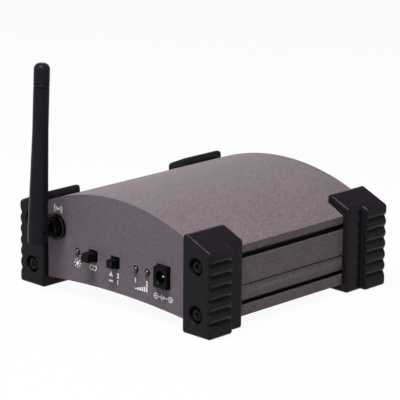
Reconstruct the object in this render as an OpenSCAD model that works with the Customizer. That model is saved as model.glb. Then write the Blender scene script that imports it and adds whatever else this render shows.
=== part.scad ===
// Wireless transmitter for stage instruments: a split extruded case with an arched roof,
// flat end panels, four ribbed corner bumpers and a folding antenna on the front panel.
// Millimetres. +Z is up and the front panel faces -Y. The origin is at the middle of the
// case, on the surface that the bumpers stand on.

/* [Case] */
// Width over the side walls
case_w = 120; // [112:1:150]
// Length of the two extruded shells
case_l = 118; // [105:1:160]
// Height of a side wall, from the underside corner to the roof corner
side_h = 35.7; // [35:0.1:48]
// How far the roof rises over its corners
roof_rise = 15.6; // [12:0.2:22]
// How far the underside arches up in the middle
floor_rise = 4; // [2:0.2:5]
// Thickness of the shell walls
wall_t = 2; // [1.6:0.1:2.4]
// Height of the seam over the lower edge of the side wall
seam_h = 15.1; // [13:0.1:17]
// Width of the shadow gap at the seam
seam_gap = 0.7; // [0.6:0.1:1.6]
// Thickness of the front and rear panels
panel_t = 2; // [1.5:0.1:3]

/* [Bumpers] */
// Width of a bumper seen from the front
bumper_w = 18.2; // [15:0.1:18.2]
// Length of a bumper along the case
bumper_l = 26.1; // [21:0.1:32]
// Length of its ribbed block
rib_block_l = 15.6; // [12:0.1:18]
// How far the ribs stand out from the side wall
rib_reach = 7; // [5.5:0.1:9]
// How far the plain flange stands out from the side wall
flange_reach = 3.7; // [3:0.1:4.5]
// How far a bumper stands in front of the panel
bumper_face = 3.2; // [2.8:0.1:5]
// Thickness of the feet under the case
foot_t = 4; // [2.6:0.1:6]
// Thickness of rubber over the roof
cover_t = 4.9; // [4:0.1:6]
// Spacing of the ribs
rib_pitch = 5.8; // [5:0.1:6.2]
// Depth of the valleys between the ribs
rib_deep = 1.3; // [0.6:0.1:1.8]
// Radius of the outer edges
edge_r = 1.6; // [1:0.1:2.2]

/* [Screws] */
// Radius of the screw shank
screw_r = 1.5; // [1.25:0.05:1.75]
// Length of the shank
screw_l = 12; // [8:0.5:16]
// Radius of the pan head
screw_head_r = 3.2; // [2.6:0.1:3.4]
// Height of the pan head
screw_head_h = 1.8; // [1.4:0.1:2]
// Radius of the recess that hides the head
recess_r = 4.4; // [4:0.1:5]
// Height of the upper screws under the roof corner
upper_screw_drop = 5.5; // [5:0.1:7]
// Height of the lower screws over the lower edge of the side wall
lower_screw_rise = 6.6; // [5.6:0.1:7]
// Height of the slot that opens the upper screw channel
upper_slot_h = 2.8; // [1.6:0.1:2.9]
// Height of the slot that opens the lower screw channel
lower_slot_h = 2.1; // [1.4:0.1:2.6]

/* [Front controls] */
// Height of the control row over the circuit board
control_rise = 5.1; // [5:0.1:6]
// Place of the status lamp across the panel
status_x = -27.2; // [-30:0.1:-26]
// Place of the pairing button across the panel
pair_x = -16; // [-19:0.1:-14]
// Place of the mode button across the panel
mode_x = -0.3; // [-4:0.1:3]
// Place of the left peak lamp across the panel
peak_left_x = 14.2; // [12:0.1:15]
// Place of the right peak lamp across the panel
peak_right_x = 22; // [21:0.1:23]
// Place of the power inlet across the panel
inlet_x = 33; // [32:0.1:35]
// Width and height of the square windows round the buttons
button_window = 6.2; // [5.7:0.1:6.8]
// Width of the pairing cap
pair_cap_w = 5.2; // [4:0.1:5.4]
// Height of the pairing cap
pair_cap_h = 4.6; // [3.4:0.1:5.2]
// How far the pairing cap stands out of the panel
pair_reach = 6; // [3:0.1:7]
// Travel of the pairing button
pair_travel = 0.4; // [0.2:0.05:0.6]
// Width and height of the mode cap
mode_cap_w = 4.3; // [3.6:0.1:5]
// How far the mode cap stands out while it is latched in
mode_reach = 4.3; // [3:0.1:6]
// How far the mode button springs out when it is released
mode_travel = 2; // [1:0.1:2.4]
// Radius of a lamp
lamp_r = 1.5; // [1:0.1:1.6]
// How far a lamp's dome stands out of the panel
lamp_reach = 1.4; // [0.8:0.1:2]
// Gap round a lamp in its hole
lamp_gap = 0.3; // [0.1:0.05:0.35]

/* [Power inlet] */
// Width of the inlet housing
inlet_w = 9; // [8.6:0.1:10]
// Height of the inlet housing
inlet_h = 11; // [10.6:0.1:11.4]
// Length of the inlet housing
inlet_l = 14.2; // [13:0.1:16]
// How far the housing stands out of the panel
inlet_reach = 2.6; // [1:0.1:3]
// Radius of the socket for the plug
inlet_socket_r = 3.15; // [2.9:0.05:3.3]
// Depth of the socket
inlet_socket_l = 9.5; // [8:0.1:10.5]
// Radius of the centre pin
inlet_pin_r = 1.05; // [0.8:0.05:1.25]

/* [Antenna] */
// Distance of the antenna socket from the side wall
antenna_inset = 18.1; // [17:0.1:22]
// Height of the antenna socket over the control row
antenna_rise = 9.9; // [9.5:0.1:12.5]
// Distance of the folding pin from the front panel
antenna_out = 13; // [12.6:0.1:16]
// Lean of the antenna from upright, towards the middle of the case
antenna_lean = 2.8; // [0:0.2:10]
// Length of the antenna above its folding pin
antenna_l = 85.5; // [70:0.5:120]
// Radius at the foot of the antenna
antenna_foot_r = 5.05; // [4.6:0.05:5.2]
// Radius of the upper part and the tip
antenna_tip_r = 4; // [3.4:0.05:4.4]
// Length of the tip cap
antenna_cap_l = 10; // [8:0.1:16]
// Radius of the folding pin
fold_pin_r = 1; // [0.8:0.05:1.3]
// Radius of the threaded socket
rf_thread_r = 3.175; // [3:0.025:3.2]
// Radius of the round dress nut
dress_nut_r = 6.7; // [6:0.1:7.1]
// Thickness of the round dress nut
dress_nut_t = 2.4; // [1.8:0.1:2.6]
// Distance of the coupling nut's flats from its axis
coupling_r = 4.75; // [4.4:0.05:5]

/* [Input jacks] */
// Distance of each input jack from the middle of the rear panel
jack_x = 22; // [16:0.5:28]
// Height of the jacks over the circuit board
jack_rise = 10.4; // [10.4:0.1:12]
// Radius of the bore for the plug
jack_bore_r = 3.2; // [3.18:0.01:3.3]
// Radius of the threaded bushing
jack_bush_r = 4.5; // [4.2:0.1:5]
// How far the bushing stands out of the rear panel
jack_reach = 5; // [4:0.1:8]
// Width of the jack housing
jack_w = 15.5; // [14.5:0.1:18]
// Length of the jack housing
jack_l = 24; // [20:0.5:30]

/* [Circuit board] */
// Thickness of the circuit board
board_t = 1.6; // [1:0.1:1.6]
// Height of the filter capacitors
capacitor_h = 11; // [6:0.5:14]
// Radius of the filter capacitors
capacitor_r = 4; // [2.5:0.1:5]
// Length of the radio module along the case
module_l = 30; // [26:0.5:36]
// Width of the radio module
module_w = 18; // [14:0.5:20]

/* [Hidden] */
$fn = 48;

// Small gap between pieces that seat on each other
seat = 0.1;
// Radial clearance of a shaft that turns or slides in its hole
running = 0.05;
// Radial clearance of a screw in a plain hole
screw_clear = 0.2;
// Overshoot of a cut past the face it opens
over = 0.5;
// Facets of the large arcs
arc_fn = 360;

// The case
half_w = case_w / 2;
shell_front = -case_l / 2;
shell_rear = case_l / 2;
panel_front = shell_front - panel_t;
panel_rear = shell_rear + panel_t;
bumper_front = panel_front - bumper_face;
floor_z = foot_t;
corner_z = floor_z + side_h;
roof_z = corner_z + roof_rise;
roof_r = (pow(half_w, 2) + pow(roof_rise, 2)) / (2 * roof_rise);
floor_r = (pow(half_w, 2) + pow(floor_rise, 2)) / (2 * floor_rise);
seam_z = floor_z + seam_h;
band_tilt = 0.5;
band_crown = 0.4;
tongue_in = half_w - wall_t + seat;
tongue_out = half_w - wall_t / 2 - seat / 2;
tongue_h = 3;
tongue_top = seam_z + seam_gap + tongue_h - seat;

// The circuit board and what stands on it
board_top = seam_z - 1;
board_bottom = board_top - board_t;
rail_t = 1.4;
rail_reach = 2.5;
board_w = case_w - 2 * wall_t - 0.4;
board_seat = board_top + seat / 2;
control_z = board_top + control_rise;
inlet_z = board_seat + inlet_h / 2;
row_start = shell_front + 1.3;
regulator_w = 10;
regulator_t = 4.5;
regulator_h = 15;
capacitor_x = board_w / 2 - 13.8;
regulator_x = capacitor_x - capacitor_r - 6;

// The screws and their channels
channel_r = screw_r + running;
channel_wall = 1.6;
channel_x = half_w - channel_r - 0.8;
upper_screw_z = corner_z - upper_screw_drop;
lower_screw_z = floor_z + lower_screw_rise;
recess_deep = screw_head_h + 0.4;

// The bumpers
bumper_in = half_w + rib_reach - bumper_w;
bumper_out = half_w + rib_reach;
flange_out = half_w + flange_reach;
slope_angle = asin(bumper_in / roof_r);
roof_slope = tan(slope_angle);
cover_in_z = roof_z - roof_r + sqrt(pow(roof_r, 2) - pow(bumper_in, 2)) + cover_t;
rib_steps = 8;
rib_start = 4.4;

// The antenna
antenna_x = -(half_w - antenna_inset);
antenna_z = control_z + antenna_rise;
fold_y = panel_front - antenna_out;
tongue_reach = 3;
tongue_w = 3.9;
slot_side = 0.15;
tail_r = 6.5;
tail_drop = 6;
flange_r = rf_thread_r - 0.1;
coupling_front = antenna_out - tail_r - 0.3;
coupling_back = dress_nut_t + 0.2;
lip_t = 0.8;
neck_r = 2.5;
socket_end = coupling_front - lip_t - 0.7;
lock_washer_t = 0.5;
socket_tail = 5;

// The radio cable and its module
pigtail_r = 0.9;
pigtail_bend = 8;
pigtail_run = 4;
pigtail_start = panel_t + lock_washer_t + socket_tail + seat;
pigtail_y = panel_front + pigtail_start + pigtail_run + pigtail_bend;
plug_h = 2.2;
module_base = 1;
shield_h = 2.6;
shield_edge = 1;

// The buttons
plunger_r = 1.4;
cap_back = shell_front + 0.8;
switch_front = cap_back + 0.8;
plunger_hold = 1;

// The jacks
jack_z = board_top + jack_rise;
jack_wall = 1.6;
jack_front_wall = 2.5;
jack_washer_t = 0.6;
jack_nut_t = 2.2;
jack_nut_r = 6.4;
contact_w = 4;
contact_t = 0.5;

// Outline of the case, grown all round by a clearance
module case_outline(grow = 0) {
    difference() {
        intersection() {
            translate([0, roof_z - roof_r]) circle(roof_r + grow, $fn = arc_fn);
            translate([-half_w - grow, floor_z - grow])
                square([case_w + 2 * grow, side_h + roof_rise + 2 * grow]);
        }
        translate([0, floor_z + floor_rise - floor_r]) circle(floor_r - grow, $fn = arc_fn);
    }
}

// The hollow inside the walls
module case_hollow() {
    difference() {
        intersection() {
            translate([0, roof_z - roof_r]) circle(roof_r - wall_t, $fn = arc_fn);
            translate([-half_w + wall_t, floor_z])
                square([case_w - 2 * wall_t, side_h + roof_rise]);
        }
        translate([0, floor_z + floor_rise - floor_r])
            circle(floor_r + wall_t, $fn = arc_fn);
    }
}

module both_sides() {
    children();
    mirror([1, 0]) children();
}

// Wall round a screw channel, inside the case
module channel_lump(z) {
    translate([channel_x, z]) circle(channel_r + channel_wall);
    translate([channel_x, z - channel_r - channel_wall])
        square([half_w - channel_x, 2 * (channel_r + channel_wall)]);
}

// The channel itself, open to the side through a slot
module channel_cut(z, slot_h) {
    translate([channel_x, z]) circle(channel_r);
    translate([channel_x, z - slot_h / 2]) square([half_w - channel_x + over, slot_h]);
}

module along_case(length) {
    rotate([90, 0, 0]) linear_extrude(length, center = true) children();
}

module top_shell() {
    above = seam_z + seam_gap;
    color("dimgray") along_case(case_l) difference() {
        intersection() {
            case_outline();
            translate([-half_w, above]) square([case_w, roof_z]);
        }
        difference() {
            case_hollow();
            both_sides() intersection() {
                channel_lump(upper_screw_z);
                case_outline();
            }
        }
        both_sides() {
            channel_cut(upper_screw_z, upper_slot_h);
            // the wall leans in a little under the roof's edge
            polygon([
                [half_w, corner_z + over],
                [half_w - band_tilt, upper_screw_z],
                [half_w + over, upper_screw_z],
                [half_w + over, corner_z + over]
            ]);
            // rebate for the tongue of the lower shell
            translate([half_w - wall_t - over, above - over])
                square([wall_t / 2 + seat / 2 + over, tongue_h + over]);
        }
    }
}

module bottom_shell() {
    color("dimgray") along_case(case_l) difference() {
        intersection() {
            case_outline();
            polygon([
                [-half_w, 0], [half_w, 0],
                [half_w, seam_z], [tongue_out, seam_z],
                [tongue_out, tongue_top], [tongue_in, tongue_top], [tongue_in, seam_z],
                [-tongue_in, seam_z], [-tongue_in, tongue_top], [-tongue_out, tongue_top],
                [-tongue_out, seam_z], [-half_w, seam_z]
            ]);
        }
        difference() {
            intersection() {
                case_hollow();
                translate([-half_w, 0]) square([case_w, seam_z + over]);
            }
            both_sides() {
                intersection() {
                    channel_lump(lower_screw_z);
                    case_outline();
                }
                board_rail(board_bottom - seat - rail_t);
                board_rail(board_top + seat);
            }
        }
        both_sides() {
            channel_cut(lower_screw_z, lower_slot_h);
            seam_band_cut();
        }
    }
}

// One of the two ledges that hold an edge of the circuit board
module board_rail(z) {
    translate([half_w - wall_t - rail_reach, z])
        square([rail_reach + over, min(rail_t, seam_z + over - z)]);
}

// The band under the seam is a low round crown between two narrow flats
module seam_band_cut() {
    band_low = lower_screw_z + lower_slot_h / 2;
    flat_x = half_w - band_crown;
    crown_z = (band_low + seam_z) / 2 - 0.5;
    crown_half = (seam_z - band_low) / 2 - 0.9;
    crown_r = (pow(crown_half, 2) + pow(band_crown, 2)) / (2 * band_crown);
    difference() {
        translate([flat_x, band_low]) square([band_crown + over, seam_z + over - band_low]);
        translate([half_w - crown_r, crown_z]) circle(crown_r, $fn = arc_fn);
    }
}

module screw_places() {
    for (side = [-1, 1], z = [lower_screw_z, upper_screw_z])
        translate([side * channel_x, 0, z]) children();
}

// A round hole along Y through whatever lies between two planes
module hole_y(r, from, to) {
    translate([0, to, 0]) rotate([90, 0, 0]) cylinder(r = r, h = to - from);
}

module panel_blank(y) {
    difference() {
        translate([0, y + panel_t, 0]) rotate([90, 0, 0]) linear_extrude(panel_t) case_outline();
        screw_places() hole_y(screw_r + screw_clear, y - over, y + panel_t + over);
    }
}

module front_panel() {
    near = panel_front - over;
    far = shell_front + over;
    inlet_gap = 0.2;
    color("dimgray") difference() {
        panel_blank(panel_front);
        translate([antenna_x, 0, antenna_z]) hole_y(rf_thread_r + seat, near, far);
        for (x = [pair_x, mode_x])
            translate([x - button_window / 2, near, control_z - button_window / 2])
                cube([button_window, far - near, button_window]);
        for (x = [status_x, peak_left_x, peak_right_x])
            translate([x, 0, control_z]) hole_y(lamp_r + lamp_gap, near, far);
        translate([inlet_x - inlet_w / 2 - inlet_gap, near, inlet_z - inlet_h / 2 - inlet_gap])
            cube([inlet_w + 2 * inlet_gap, far - near, inlet_h + 2 * inlet_gap]);
    }
}

module rear_panel() {
    color("dimgray") difference() {
        panel_blank(shell_rear);
        for (side = [-1, 1])
            translate([side * jack_x, 0, jack_z])
                hole_y(jack_bush_r + screw_clear, shell_rear - over, panel_rear + over);
    }
}

// Outward normal of the edge from a to b on an outline that runs counter-clockwise
function edge_normal(a, b) =
    let (d = b - a)
    [d[1], -d[0]] / norm(d);

// Convex outline of radius r round the given centres
module rounded_outline(centres, r) {
    n = len(centres);
    polygon([
        for (i = [0 : n - 1])
            let (here = centres[i])
            each [
                here + r * edge_normal(centres[(i + n - 1) % n], here),
                here + r * edge_normal(here, centres[(i + 1) % n])
            ]
    ]);
    for (c = centres) translate(c) circle(r);
}

module rounded_rect(length, height, r) {
    rounded_outline([[r, r], [length - r, r], [length - r, height - r], [r, height - r]], r);
}

function cover_top(x) = cover_in_z - roof_slope * (x - bumper_in);

// Bumper body between its inner edge and a given outer face: rounded as seen from the
// front, from above, along its base and along its sloping top
module bumper_block(outer, back) {
    r = edge_r;
    drop = r / cos(slope_angle);
    tall = 2 * cover_in_z;
    intersection() {
        rotate([90, 0, 0]) linear_extrude(3 * bumper_l, center = true) rounded_outline([
            [bumper_in + r, r],
            [outer - r, r],
            [outer - r, cover_top(outer - r) - drop],
            [bumper_in + r, cover_top(bumper_in + r) - drop]
        ], r);
        translate([bumper_in, 0, -over]) linear_extrude(tall)
            rounded_rect(outer - bumper_in, back, r);
        rotate([90, 0, 90]) linear_extrude(case_w) rounded_rect(back, tall, r);
        translate([bumper_in, 0, cover_in_z]) rotate([0, slope_angle, 0]) rotate([90, 0, 90])
            linear_extrude(case_w, center = true)
                translate([0, -tall]) rounded_rect(back, tall, r);
    }
}

function rib_x(z, ribs) =
    let (turn = (z - rib_start) / rib_pitch)
    bumper_out - (turn < 0 || turn > ribs ? 0 : rib_deep * (1 - cos(360 * turn)) / 2);

// Everything inside the wavy outer face of the ribbed block
module rib_wave(height) {
    ribs = floor((height - rib_start - edge_r) / rib_pitch);
    wave = [
        for (i = [0 : ribs * rib_steps])
            let (z = rib_start + i * rib_pitch / rib_steps)
            [rib_x(z, ribs), z]
    ];
    back = bumper_in - over;
    rotate([90, 0, 0]) linear_extrude(3 * bumper_l, center = true)
        polygon(concat(
            [[back, -over], [bumper_out + over, -over], [bumper_out + over, rib_start - 0.01]],
            wave,
            [[bumper_out + over, last_z(wave) + 0.01], [bumper_out + over, roof_z], [back, roof_z]]
        ));
}

function last_z(points) = points[len(points) - 1][1];

// Front right bumper, with its front face at y = 0
module bumper_at_origin() {
    shell_start = bumper_face + panel_t;
    color([0.09, 0.09, 0.1]) difference() {
        union() {
            intersection() {
                bumper_block(bumper_out, rib_block_l);
                rib_wave(cover_top(bumper_out));
            }
            bumper_block(flange_out, bumper_l);
        }
        translate([0, bumper_face, 0]) mirror([0, 1, 0]) rotate([90, 0, 0])
            linear_extrude(bumper_l) case_outline(seat);
        for (z = [lower_screw_z, upper_screw_z]) translate([channel_x, 0, z]) {
            hole_y(recess_r, -over, recess_deep);
            hole_y(screw_r + screw_clear, -over, shell_start);
        }
    }
}

module bumper(side, end) {
    mirror([side < 0 ? 1 : 0, 0, 0]) mirror([0, end > 0 ? 1 : 0, 0])
        translate([0, bumper_front, 0]) bumper_at_origin();
}

module bumper_front_right() {
    bumper(1, -1);
}

module bumper_front_left() {
    bumper(-1, -1);
}

module bumper_rear_right() {
    bumper(1, 1);
}

module bumper_rear_left() {
    bumper(-1, 1);
}

// Cross-recessed pan head screw along +Y, with its seat at y = 0
module pan_screw() {
    dome_r = 2 * screw_head_r;
    slot_w = 0.9;
    slot_deep = 1.2;
    color("black") difference() {
        union() {
            intersection() {
                hole_y(screw_head_r, -screw_head_h, 0);
                translate([0, dome_r - screw_head_h, 0]) sphere(dome_r, $fn = 96);
            }
            hole_y(screw_r, -over, screw_l);
        }
        for (turn = [0, 90]) rotate([0, turn, 0])
            translate([-screw_head_r * 0.6, -screw_head_h - over, -slot_w / 2])
                cube([screw_head_r * 1.2, slot_deep + over, slot_w]);
    }
}

module front_bumper_screws() {
    screw_places() translate([0, bumper_front + recess_deep, 0]) pan_screw();
}

module rear_bumper_screws() {
    mirror([0, 1, 0]) front_bumper_screws();
}

// Places a piece on the axis of the antenna socket, with y = 0 at the panel's face and
// +Y out of the panel
module at_socket() {
    translate([antenna_x, panel_front, antenna_z]) mirror([0, 1, 0]) children();
}

module rf_socket() {
    flange_back = -panel_t - lock_washer_t;
    tail_end = flange_back - socket_tail;
    color("gold") at_socket() difference() {
        union() {
            hole_y(rf_thread_r, flange_back, socket_end);
            translate([0, flange_back, 0]) rotate([90, 0, 0]) cylinder(r = 4.4, h = 1.6, $fn = 6);
            hole_y(2.6, tail_end, flange_back);
        }
        hole_y(2.1, tail_end + 1, socket_end + over);
        hole_y(1, tail_end - over, flange_back);
    }
}

module rf_socket_insulator() {
    back = -panel_t - lock_washer_t - socket_tail;
    color("white") at_socket() difference() {
        hole_y(2.05, back + 1.1, socket_end - 1.8);
        hole_y(0.7, back, socket_end);
    }
}

module rf_socket_contact() {
    color("gold") at_socket() difference() {
        hole_y(0.65, 0.5 - panel_t - lock_washer_t - socket_tail, socket_end - 1.4);
        hole_y(0.45, socket_end - 4, socket_end);
    }
}

module rf_lock_washer() {
    color("silver") at_socket() difference() {
        hole_y(4.6, -panel_t - lock_washer_t, -panel_t);
        hole_y(rf_thread_r + seat, -panel_t - lock_washer_t - over, over);
    }
}

module rf_dress_nut() {
    color("black") at_socket() difference() {
        union() {
            hole_y(dress_nut_r, 0, dress_nut_t - 0.6);
            translate([0, dress_nut_t - 0.6, 0]) rotate([-90, 0, 0])
                cylinder(r1 = dress_nut_r, r2 = dress_nut_r - 0.6, h = 0.6);
        }
        hole_y(rf_thread_r + running, -over, dress_nut_t + over);
    }
}

module coupling_nut() {
    corner_r = coupling_r / cos(30);
    color("black") at_socket() difference() {
        intersection() {
            translate([0, coupling_front, 0]) rotate([90, 0, 0])
                cylinder(r = corner_r, h = coupling_front - coupling_back, $fn = 6);
            translate([0, coupling_front, 0]) rotate([90, 0, 0])
                cylinder(r1 = coupling_r - 0.1, r2 = coupling_r + 6, h = 6.1);
        }
        hole_y(rf_thread_r + running, coupling_back - over, coupling_front - lip_t);
        hole_y(neck_r + running, 0, coupling_front + over);
    }
}

// Places a piece on the folding pin, turned with the lean of the antenna
module at_fold() {
    translate([antenna_x, fold_y, antenna_z]) rotate([0, antenna_lean, 0]) children();
}

module cylinder_x(r, length) {
    rotate([0, 90, 0]) cylinder(r = r, h = length, center = true);
}

module antenna_knuckle() {
    flange_end = antenna_out - socket_end - 0.1;
    neck_start = antenna_out - coupling_front + lip_t + 0.1;
    color([0.1, 0.1, 0.11]) at_fold() difference() {
        union() {
            hole_y(flange_r, neck_start, flange_end);
            hole_y(neck_r, antenna_out - coupling_front - 0.15, neck_start + 0.1);
            translate([-tongue_w / 2, 0, -neck_r * 0.6])
                cube([tongue_w, antenna_out - coupling_front, neck_r * 1.2]);
            cylinder_x(tongue_reach, tongue_w);
            hole_y(0.4, flange_end - over, flange_end + 2.5);
        }
        cylinder_x(fold_pin_r + running, tongue_w + 2);
    }
}

module antenna_fold_pin() {
    color("silver") at_fold() cylinder_x(fold_pin_r, 2 * antenna_foot_r - 1);
}

// The forked foot, the tapered sleeve and the ring below the tip
module antenna_sleeve() {
    slot_w = tongue_w + 2 * slot_side;
    slot_r = tongue_reach + 0.4;
    taper_end = antenna_l * 0.6;
    top = antenna_l - antenna_cap_l;
    ring_l = 1.6;
    color([0.1, 0.1, 0.11]) at_fold() difference() {
        union() {
            intersection() {
                translate([0, 0, -tail_drop]) cylinder(r = antenna_foot_r, h = tail_drop + 2);
                cylinder_x(tail_r, 4 * antenna_foot_r);
            }
            translate([0, 0, 2])
                cylinder(r1 = antenna_foot_r, r2 = antenna_tip_r, h = taper_end - 2);
            translate([0, 0, taper_end]) cylinder(r = antenna_tip_r, h = top - taper_end);
        }
        cylinder_x(slot_r, slot_w);
        translate([-slot_w / 2, 0, -slot_r]) cube([slot_w, 2 * tail_r, 2 * slot_r]);
        translate([-slot_w / 2, -slot_r, -2 * tail_r]) cube([slot_w, 2 * slot_r, 2 * tail_r]);
        translate([-slot_w / 2, 0, -2 * tail_r]) cube([slot_w, 2 * tail_r, 2 * tail_r]);
        cylinder_x(fold_pin_r, 2 * antenna_foot_r - 1);
        translate([0, 0, slot_r + 4]) cylinder(r = 2.2, h = antenna_l);
        translate([0, 0, top - ring_l]) ring_groove(antenna_tip_r);
    }
}

// A fine groove turned into a round bar
module ring_groove(r) {
    difference() {
        cylinder(r = r + over, h = 0.35);
        translate([0, 0, -over]) cylinder(r = r - 0.3, h = 1 + over);
    }
}

module antenna_cap() {
    dome = 3;
    gap = 0.2;
    r = antenna_tip_r;
    color([0.1, 0.1, 0.11]) at_fold() translate([0, 0, antenna_l - antenna_cap_l + gap])
        rotate_extrude() {
            square([r, antenna_cap_l - gap - dome]);
            square([r - dome, antenna_cap_l - gap]);
            translate([r - dome, antenna_cap_l - gap - dome]) intersection() {
                circle(dome);
                square(dome);
            }
        }
}

module antenna_radiator() {
    start = tongue_reach + 4.6;
    skirt_l = antenna_l * 0.3;
    skirt_start = start + 6;
    skirt_end = skirt_start + skirt_l;
    skirt_r = 2.15;
    color("orange") at_fold() {
        translate([0, 0, start]) cylinder(r = 0.7, h = antenna_l - antenna_cap_l - start);
        translate([0, 0, skirt_start]) difference() {
            cylinder(r = skirt_r, h = skirt_l);
            translate([0, 0, -over]) cylinder(r = skirt_r - 0.35, h = skirt_l + 2 * over);
        }
        translate([0, 0, skirt_end - 1]) cylinder(r = skirt_r, h = 1);
    }
}

// Radio cable from the socket back and down to the module
module coax_pigtail() {
    turn = pigtail_start + pigtail_run;
    plug_low = board_seat + 1.1 - antenna_z;
    color("black") translate([antenna_x, panel_front, antenna_z]) {
        hole_y(pigtail_r, pigtail_start, turn);
        translate([0, turn, -pigtail_bend]) rotate([0, -90, 0])
            rotate_extrude(angle = 90) translate([pigtail_bend, 0]) circle(pigtail_r);
        translate([0, turn + pigtail_bend, plug_low]) {
            cylinder(r = pigtail_r, h = -pigtail_bend - plug_low);
            cylinder(r = 1.6, h = plug_h);
        }
    }
}

module radio_module() {
    color("darkgreen") translate([antenna_x - module_w / 2, pigtail_y - 4, board_seat])
        cube([module_w, module_l, module_base]);
}

// Thin metal can over the radio parts, beside the cable's plug
module radio_shield() {
    wall = 0.3;
    start_y = pigtail_y + 3;
    w = module_w - 2 * shield_edge;
    l = pigtail_y - 4 + module_l - shield_edge - start_y;
    color("silver")
        translate([antenna_x - w / 2, start_y, board_seat + module_base + seat / 2])
            difference() {
                cube([w, l, shield_h]);
                translate([wall, wall, -over])
                    cube([w - 2 * wall, l - 2 * wall, shield_h - wall + over]);
            }
}

// Round lamp with a domed nose, its flange and its square back
module lamp(x, tint) {
    nose = panel_front - lamp_reach;
    color(tint) translate([x, 0, control_z]) {
        translate([0, nose + lamp_r, 0]) sphere(lamp_r);
        hole_y(lamp_r, nose + lamp_r, row_start);
        hole_y(lamp_r + 0.35, shell_front + 0.2, row_start);
    }
}

module lamp_holder(x) {
    w = 4.4;
    color([0.1, 0.1, 0.1]) translate([x - w / 2, row_start + seat / 2, board_seat])
        cube([w, 4, control_z + lamp_r + 0.5 - board_seat]);
}

module status_lamp() {
    lamp(status_x, "seagreen");
}

module status_lamp_holder() {
    lamp_holder(status_x);
}

module peak_lamp_left() {
    lamp(peak_left_x, "firebrick");
}

module peak_lamp_left_holder() {
    lamp_holder(peak_left_x);
}

module peak_lamp_right() {
    lamp(peak_right_x, "firebrick");
}

module peak_lamp_right_holder() {
    lamp_holder(peak_right_x);
}

// A cap with a slightly smaller nose, pushed on a plunger
module button_cap(x, w, h, reach) {
    nose = panel_front - reach;
    draft = 0.3;
    color([0.08, 0.08, 0.08]) difference() {
        union() {
            translate([x - w / 2, nose + draft, control_z - h / 2])
                cube([w, cap_back - nose - draft, h]);
            translate([x - w / 2 + draft, nose, control_z - h / 2 + draft])
                cube([w - 2 * draft, 2 * draft, h - 2 * draft]);
        }
        translate([x, 0, control_z]) hole_y(plunger_r + running, nose + 2, cap_back + over);
    }
}

module plunger(x, reach, travel) {
    color("ivory") translate([x, 0, control_z]) hole_y(
        plunger_r,
        panel_front - reach + 2 + seat,
        switch_front + travel + plunger_hold
    );
}

// Switch body on the board, bored for its plunger and for what the plunger goes in
module switch_body(x, w, l, bore, tint) {
    color(tint) difference() {
        translate([x - w / 2, switch_front, board_seat])
            cube([w, l, control_z + w / 2 - board_seat]);
        translate([x, 0, control_z])
            hole_y(plunger_r + running, switch_front - over, switch_front + bore);
    }
}

module pair_button() {
    button_cap(pair_x, pair_cap_w, pair_cap_h, pair_reach);
}

module pair_plunger() {
    plunger(pair_x, pair_reach, pair_travel);
}

module pair_switch() {
    switch_body(pair_x, 6.2, 5, 2 * pair_travel + plunger_hold + 0.3, [0.1, 0.1, 0.1]);
}

module mode_button() {
    button_cap(mode_x, mode_cap_w, mode_cap_w, mode_reach);
}

module mode_plunger() {
    plunger(mode_x, mode_reach, mode_travel);
}

module mode_switch() {
    switch_body(mode_x, 8.4, 12, mode_travel + plunger_hold + 0.8, [0.15, 0.15, 0.15]);
}

module inlet_housing() {
    nose = panel_front - inlet_reach;
    cut = 1.3;
    w = inlet_w / 2;
    spring_w = 2.4;
    color([0.08, 0.08, 0.08]) difference() {
        translate([inlet_x, nose + inlet_l, board_seat]) rotate([90, 0, 0]) linear_extrude(inlet_l)
            polygon([
                [-w, 0], [w, 0], [w, inlet_h - cut], [w - cut, inlet_h],
                [-w + cut, inlet_h], [-w, inlet_h - cut]
            ]);
        translate([inlet_x, 0, inlet_z]) hole_y(inlet_socket_r, nose - over, nose + inlet_socket_l);
        translate([inlet_x - spring_w / 2, nose + 2, inlet_z - inlet_socket_r - 1])
            cube([spring_w, inlet_socket_l - 3, inlet_socket_r]);
    }
}

module inlet_pin() {
    nose = panel_front - inlet_reach;
    tip = nose + 2;
    color("silver") translate([inlet_x, 0, inlet_z]) {
        hole_y(inlet_pin_r, tip + inlet_pin_r, nose + inlet_socket_l);
        translate([0, tip + inlet_pin_r, 0]) sphere(inlet_pin_r);
    }
}

module inlet_spring() {
    color("silver")
        translate([inlet_x - 1, panel_front - inlet_reach + 2.4, inlet_z - inlet_socket_r - 0.9])
            cube([2, inlet_socket_l - 3.8, 0.5]);
}

// Housing, threaded bushing and plug bore of an input jack
module input_jack(side) {
    low = board_seat;
    high = jack_z + jack_w / 2;
    back = shell_rear - jack_l;
    color([0.12, 0.12, 0.13]) translate([side * jack_x, 0, 0]) difference() {
        union() {
            translate([-jack_w / 2, back, low]) cube([jack_w, jack_l - seat, high - low]);
            translate([0, 0, jack_z]) hole_y(jack_bush_r, shell_rear - over, panel_rear + jack_reach);
        }
        translate([0, 0, jack_z])
            hole_y(jack_bore_r, shell_rear - jack_front_wall - over, panel_rear + jack_reach + over);
        translate([-jack_w / 2 + jack_wall, back + jack_wall, low - over])
            cube([
                jack_w - 2 * jack_wall,
                jack_l - jack_wall - jack_front_wall,
                high - low - jack_wall + over
            ]);
    }
}

// Tip and sleeve springs, standing on the board inside the jack housing
module jack_contact(side) {
    top = jack_z + jack_w / 2 - jack_wall - 0.35;
    bend_z = jack_z + jack_bore_r + 0.6;
    back = shell_rear - jack_l + jack_wall + 2;
    reach = jack_l * 0.3;
    color("silver") translate([side * jack_x - contact_w / 2, 0, 0]) {
        translate([0, back, board_seat]) cube([contact_w, contact_t, top - board_seat]);
        translate([0, back, top - contact_t]) cube([contact_w, reach, contact_t]);
        translate([0, back + reach - contact_t, bend_z])
            cube([contact_w, contact_t, top - bend_z]);
    }
}

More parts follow.
